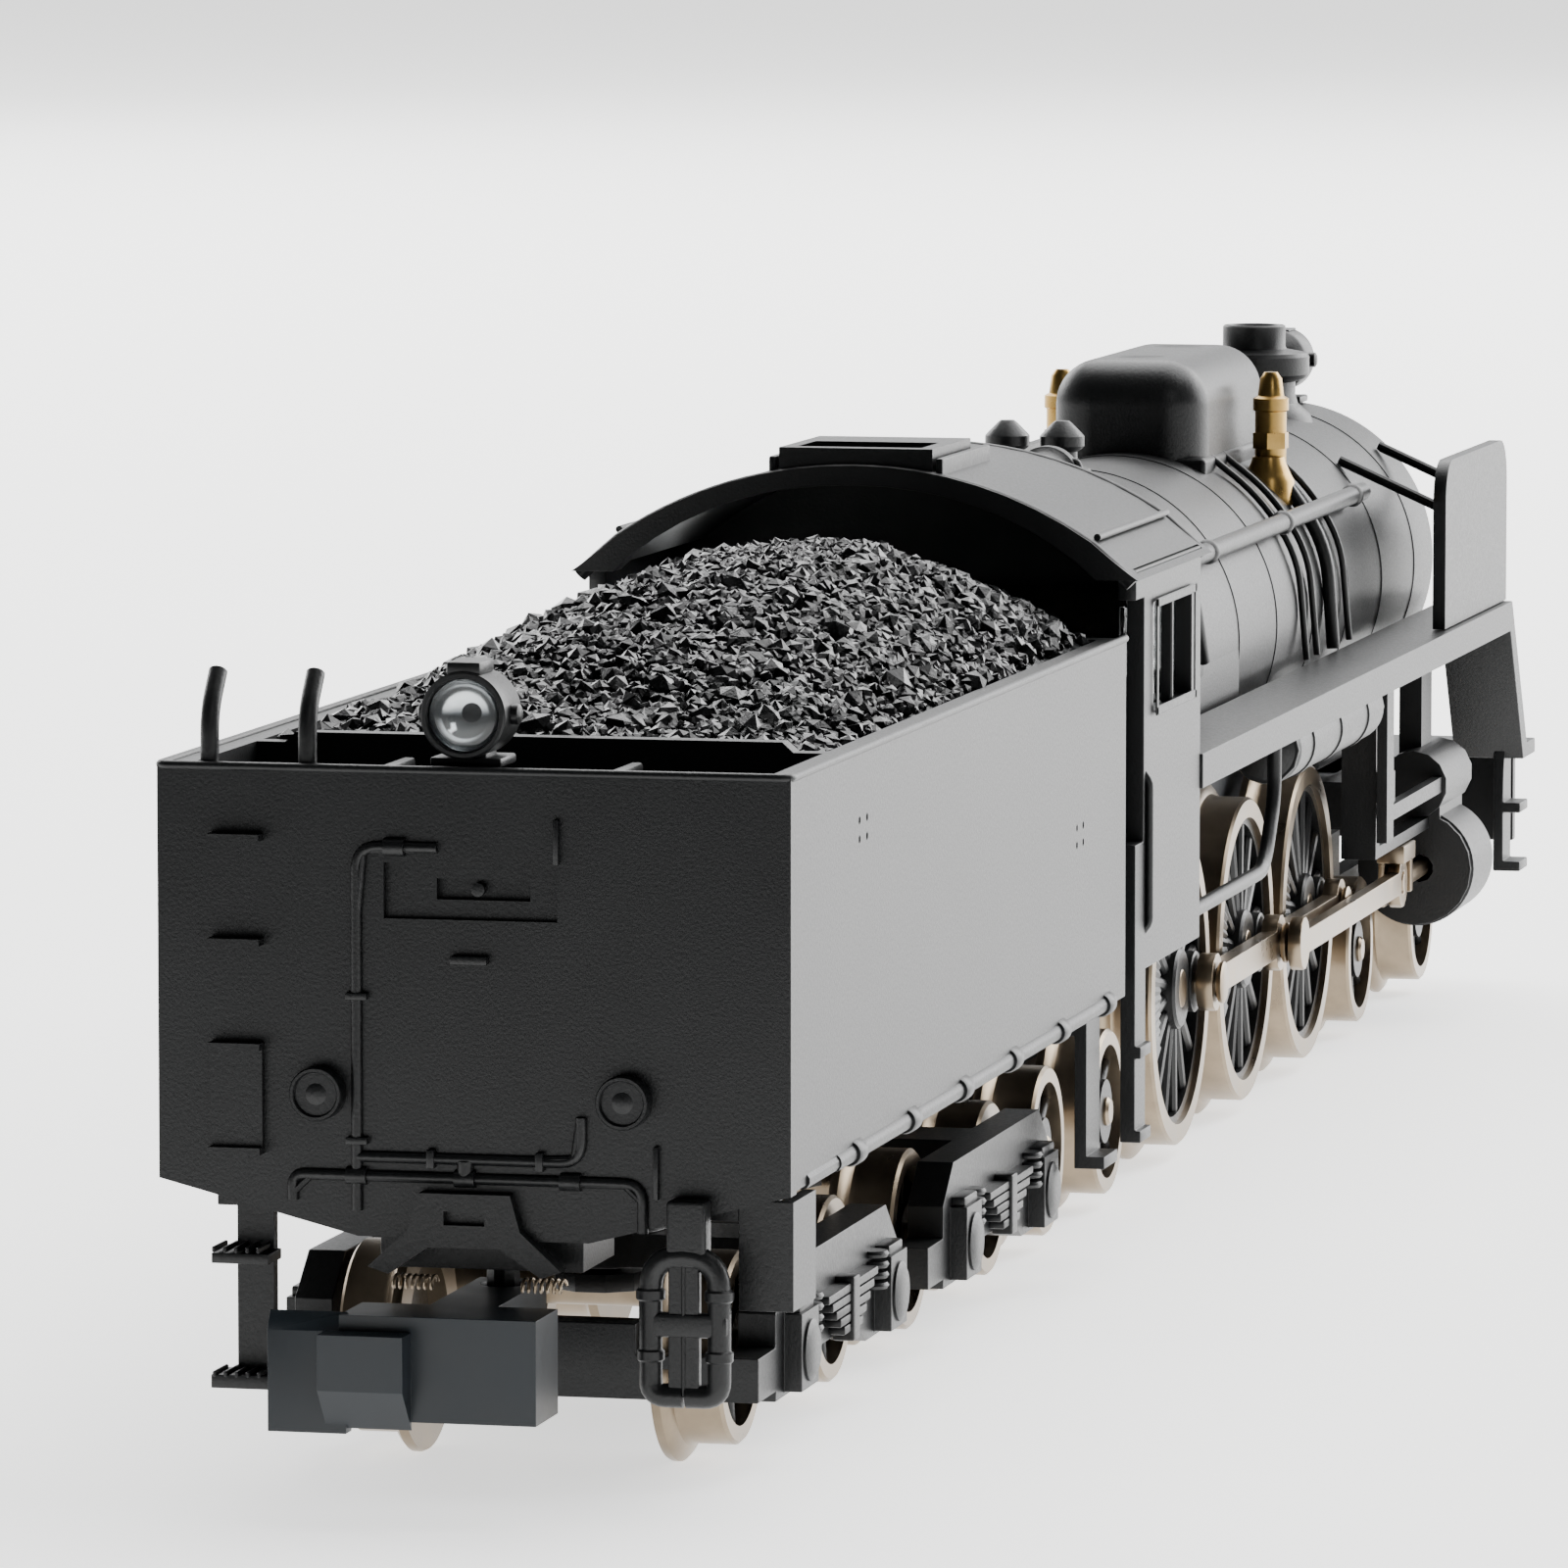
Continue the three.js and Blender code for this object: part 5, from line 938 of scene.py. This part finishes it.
roof_bits = [bent(roof_arch(roof_low.x + 0.24, 0.2), 0.24, 0.05, 5)]
roof_bits.append(bent(roof_arch(roof_high.x - 0.22, 0.14), 0.2, 0.05, 5))
for side in (1, -1):
    roof_bits.append(bent([(roof_low.x + 0.6, side * (roof_half - 1.5), EAVES + 1.12),
        (roof_high.x - 0.6, side * (roof_half - 1.5), EAVES + 1.12)],
                          0.12, 0.1))
vent_x = (roof_low.x + 0.4, roof_low.x + 6.4)
roof_bits.append(block((vent_x[0] + 0.5, vent_x[1] - 2.6), (-2.2, 2.2), (CROWN + 0.1, roof_high.z), 0.1))
for side in (1, -1):
    roof_bits.append(block((vent_x[0], vent_x[1] + 1.5), (side * 2.7, side * 2.95),
        (CROWN - 0.5, CROWN + 0.25), 0.07))
moulded(joined(roof_bits), "roof_trim", "locomotive")

# The cab's front sheet closes up to the underside of the roof.
arch = [Vector(p) * MM for p in roof_arch(cab_high.x - 0.45, 0.45) if abs(p[1]) < roof_half - 0.5]
sheet_low = [Vector((arch[0].x, end.y, (EAVES - 1.2) * MM)) for end in (arch[-1], arch[0])]
outline = bpy.data.meshes.new("front_sheet")
outline.from_pydata(arch + sheet_low, [], [tuple(range(len(arch) + 2))])
front_sheet = bpy.data.objects.new("front_sheet", outline)
bpy.context.collection.objects.link(front_sheet)
alone(front_sheet)
thickness = front_sheet.modifiers.new("thickness", "SOLIDIFY")
thickness.thickness = 0.3 * MM
bpy.ops.object.modifier_apply(modifier="thickness")
bpy.ops.object.mode_set(mode="EDIT")
bpy.ops.mesh.select_all(action="SELECT")
bpy.ops.mesh.normals_make_consistent(inside=False)
bpy.ops.object.mode_set(mode="OBJECT")
moulded(front_sheet, "cab_front_sheet", "locomotive")

# ---------------------------------------------------------------- keeper plate and motor
# A black keeper plate holds the driving axles in; the motor is a bright steel can.
moulded(rounded_copy("keeper_plate", 0.06), "axle_keeper", "locomotive", ["keeper_plate"])
steel, tree, surface = start_material("drawn_steel_can", Metallic=1.0)
mottle(tree, surface, 0.5, 3, 0x8A8C8E, 0xB8BABC, (0.25, 0.4))
settle(rounded_copy("motor", 0.1), "motor_can", "locomotive", steel, ["motor"])

# ---------------------------------------------------------------- driving wheels
# Spoked wheel centres are black mouldings pressed into nickel-plated tyres, with a crescent
# balance weight opposite each crank pin. The pins share the tyres' nickel plate.
drivers = {"driver_axle_main": "main_drivers", "driver_axle_front": "front_drivers",
    "driver_axle_rear": "rear_drivers"}
CRANK = 2.2
SPOKES = 16
for node, body in drivers.items():
    low, high = place_of(node)
    x, z = (low.x + high.x) / 2, DRIVER_AXLE_Z
    radius = DRIVER_R
    metal = [tyre(radius, radius - 0.75, side, x, z) for side in (1, -1)]
    metal.append(axle(x, z, 0.75, WHEEL_FACE + 0.08))
    if body == "main_drivers":
        metal.append(turned([(0, -0.8), (2.05, -0.8), (2.1, -0.7), (2.1, 0.7), (2.05, 0.8), (0, 0.8)],
            (0, 1, 0), (x, 0, z), 48))
    centres = []
    for side in (1, -1):
        crank_angle = -math.pi / 2 if side > 0 else 0
        pin = (x + CRANK * math.cos(crank_angle), 0, z + CRANK * math.sin(crank_angle))
        metal.append(turned([(0, 5.5), (0.45, 5.5), (0.45, 6.7), (0.72, 6.74), (0.75, 6.8), (0.75, 6.9),
            (0.66, 6.95), (0, 6.95)],
                            (0, side, 0), pin, 32))
        centres.append(turned([(0.7, 4.5), (1.55, 4.5), (1.45, 5.7), (1.35, 5.8), (0.8, 5.84), (0.7, 5.8),
            (0.7, 4.5)],
                              (0, side, 0), (x, 0, z), 40))
        centres.append(turned([(0, 4.8), (1.1, 4.8), (1.1, 5.85), (1.02, 5.9), (0, 5.9)], (0, side, 0), pin,
            32))
        centres.append(turned([(4.6, 4.6), (4.95, 4.6), (4.95, 5.55), (4.6, 5.5), (4.6, 4.6)], (0, side, 0),
            (x, 0, z), 72))
        for i in range(SPOKES):
            angle = math.tau * (i + 0.5) / SPOKES
            inner = (x + 1.2 * math.cos(angle), side * 5.3, z + 1.2 * math.sin(angle))
            outer = (x + 4.75 * math.cos(angle), side * 5.2, z + 4.75 * math.sin(angle))
            centres.append(bent([inner, outer], 0.25, 0.1, 3))
        away = crank_angle + math.pi
        for i in range(13):
            angle = away + (i - 6) * 0.085
            reach = 3.1 + 0.5 * abs(i - 6) / 6
            centres.append(bent([(x + reach * math.cos(angle), side * 5.35, z + reach * math.sin(angle)),
                                 (x + 4.75 * math.cos(angle), side * 5.35, z + 4.75 * math.sin(angle))],
                                 0.3, 0.1, 2))
    settle(joined(metal), node + "_tyres", body, nickel, [node])
    moulded(joined(centres), node + "_centres", body)

# ---------------------------------------------------------------- rods and crossheads
# Side rods, main rods and crossheads are stamped strips with the same warm nickel plate as
# the tyres and rounded edges.
for node in ("side_rod_left", "side_rod_right", "main_rod_left", "main_rod_right", "crosshead_left",
    "crosshead_right"):
    settle(rounded_copy(node, 0.06), node + "_metal", node, nickel, [node])

# ---------------------------------------------------------------- cylinders
# The cylinder, its valve chest, slide bar and hanger are one black moulding; turned covers
# with bolt rings close both ends.
truck_mid = sum(place_of("leading_truck")[i].x for i in (0, 1)) / 2
for side in ("left", "right"):
    node = "cylinder_" + side
    sign = 1 if side == "left" else -1
    moulded(rounded_copy(node, 0.06), node + "_casting", "locomotive", [node])
    centre = (truck_mid, sign * 7.1, DRIVER_AXLE_Z)
    lagging = [turned([(0, 2.65), (1.9, 2.65), (2.05, 2.72), (2.1, 2.9), (1.9, 3.0), (0.8, 3.05),
        (0, 3.05)], (1, 0, 0), centre, 48)]
    lagging.append(turned([(2.2, -2.4), (2.32, -2.35), (2.32, 2.35), (2.2, 2.4), (2.2, -2.4)], (1, 0, 0),
        centre, 56))
    for i in range(10):
        angle = math.tau * i / 10
        place = (truck_mid, centre[1] + 1.65 * math.cos(angle), centre[2] + 1.65 * math.sin(angle))
        lagging.append(turned([(0, 2.9), (0.16, 2.9), (0.16, 3.14), (0, 3.16)], (1, 0, 0), place, 6))
    moulded(joined(lagging), node + "_cover", "locomotive")

# ---------------------------------------------------------------- trucks
# The leading and trailing trucks are low black mouldings between their wheels.
for node in ("leading_truck", "trailing_truck"):
    moulded(rounded_copy(node, 0.08), node + "_frame", node, [node])
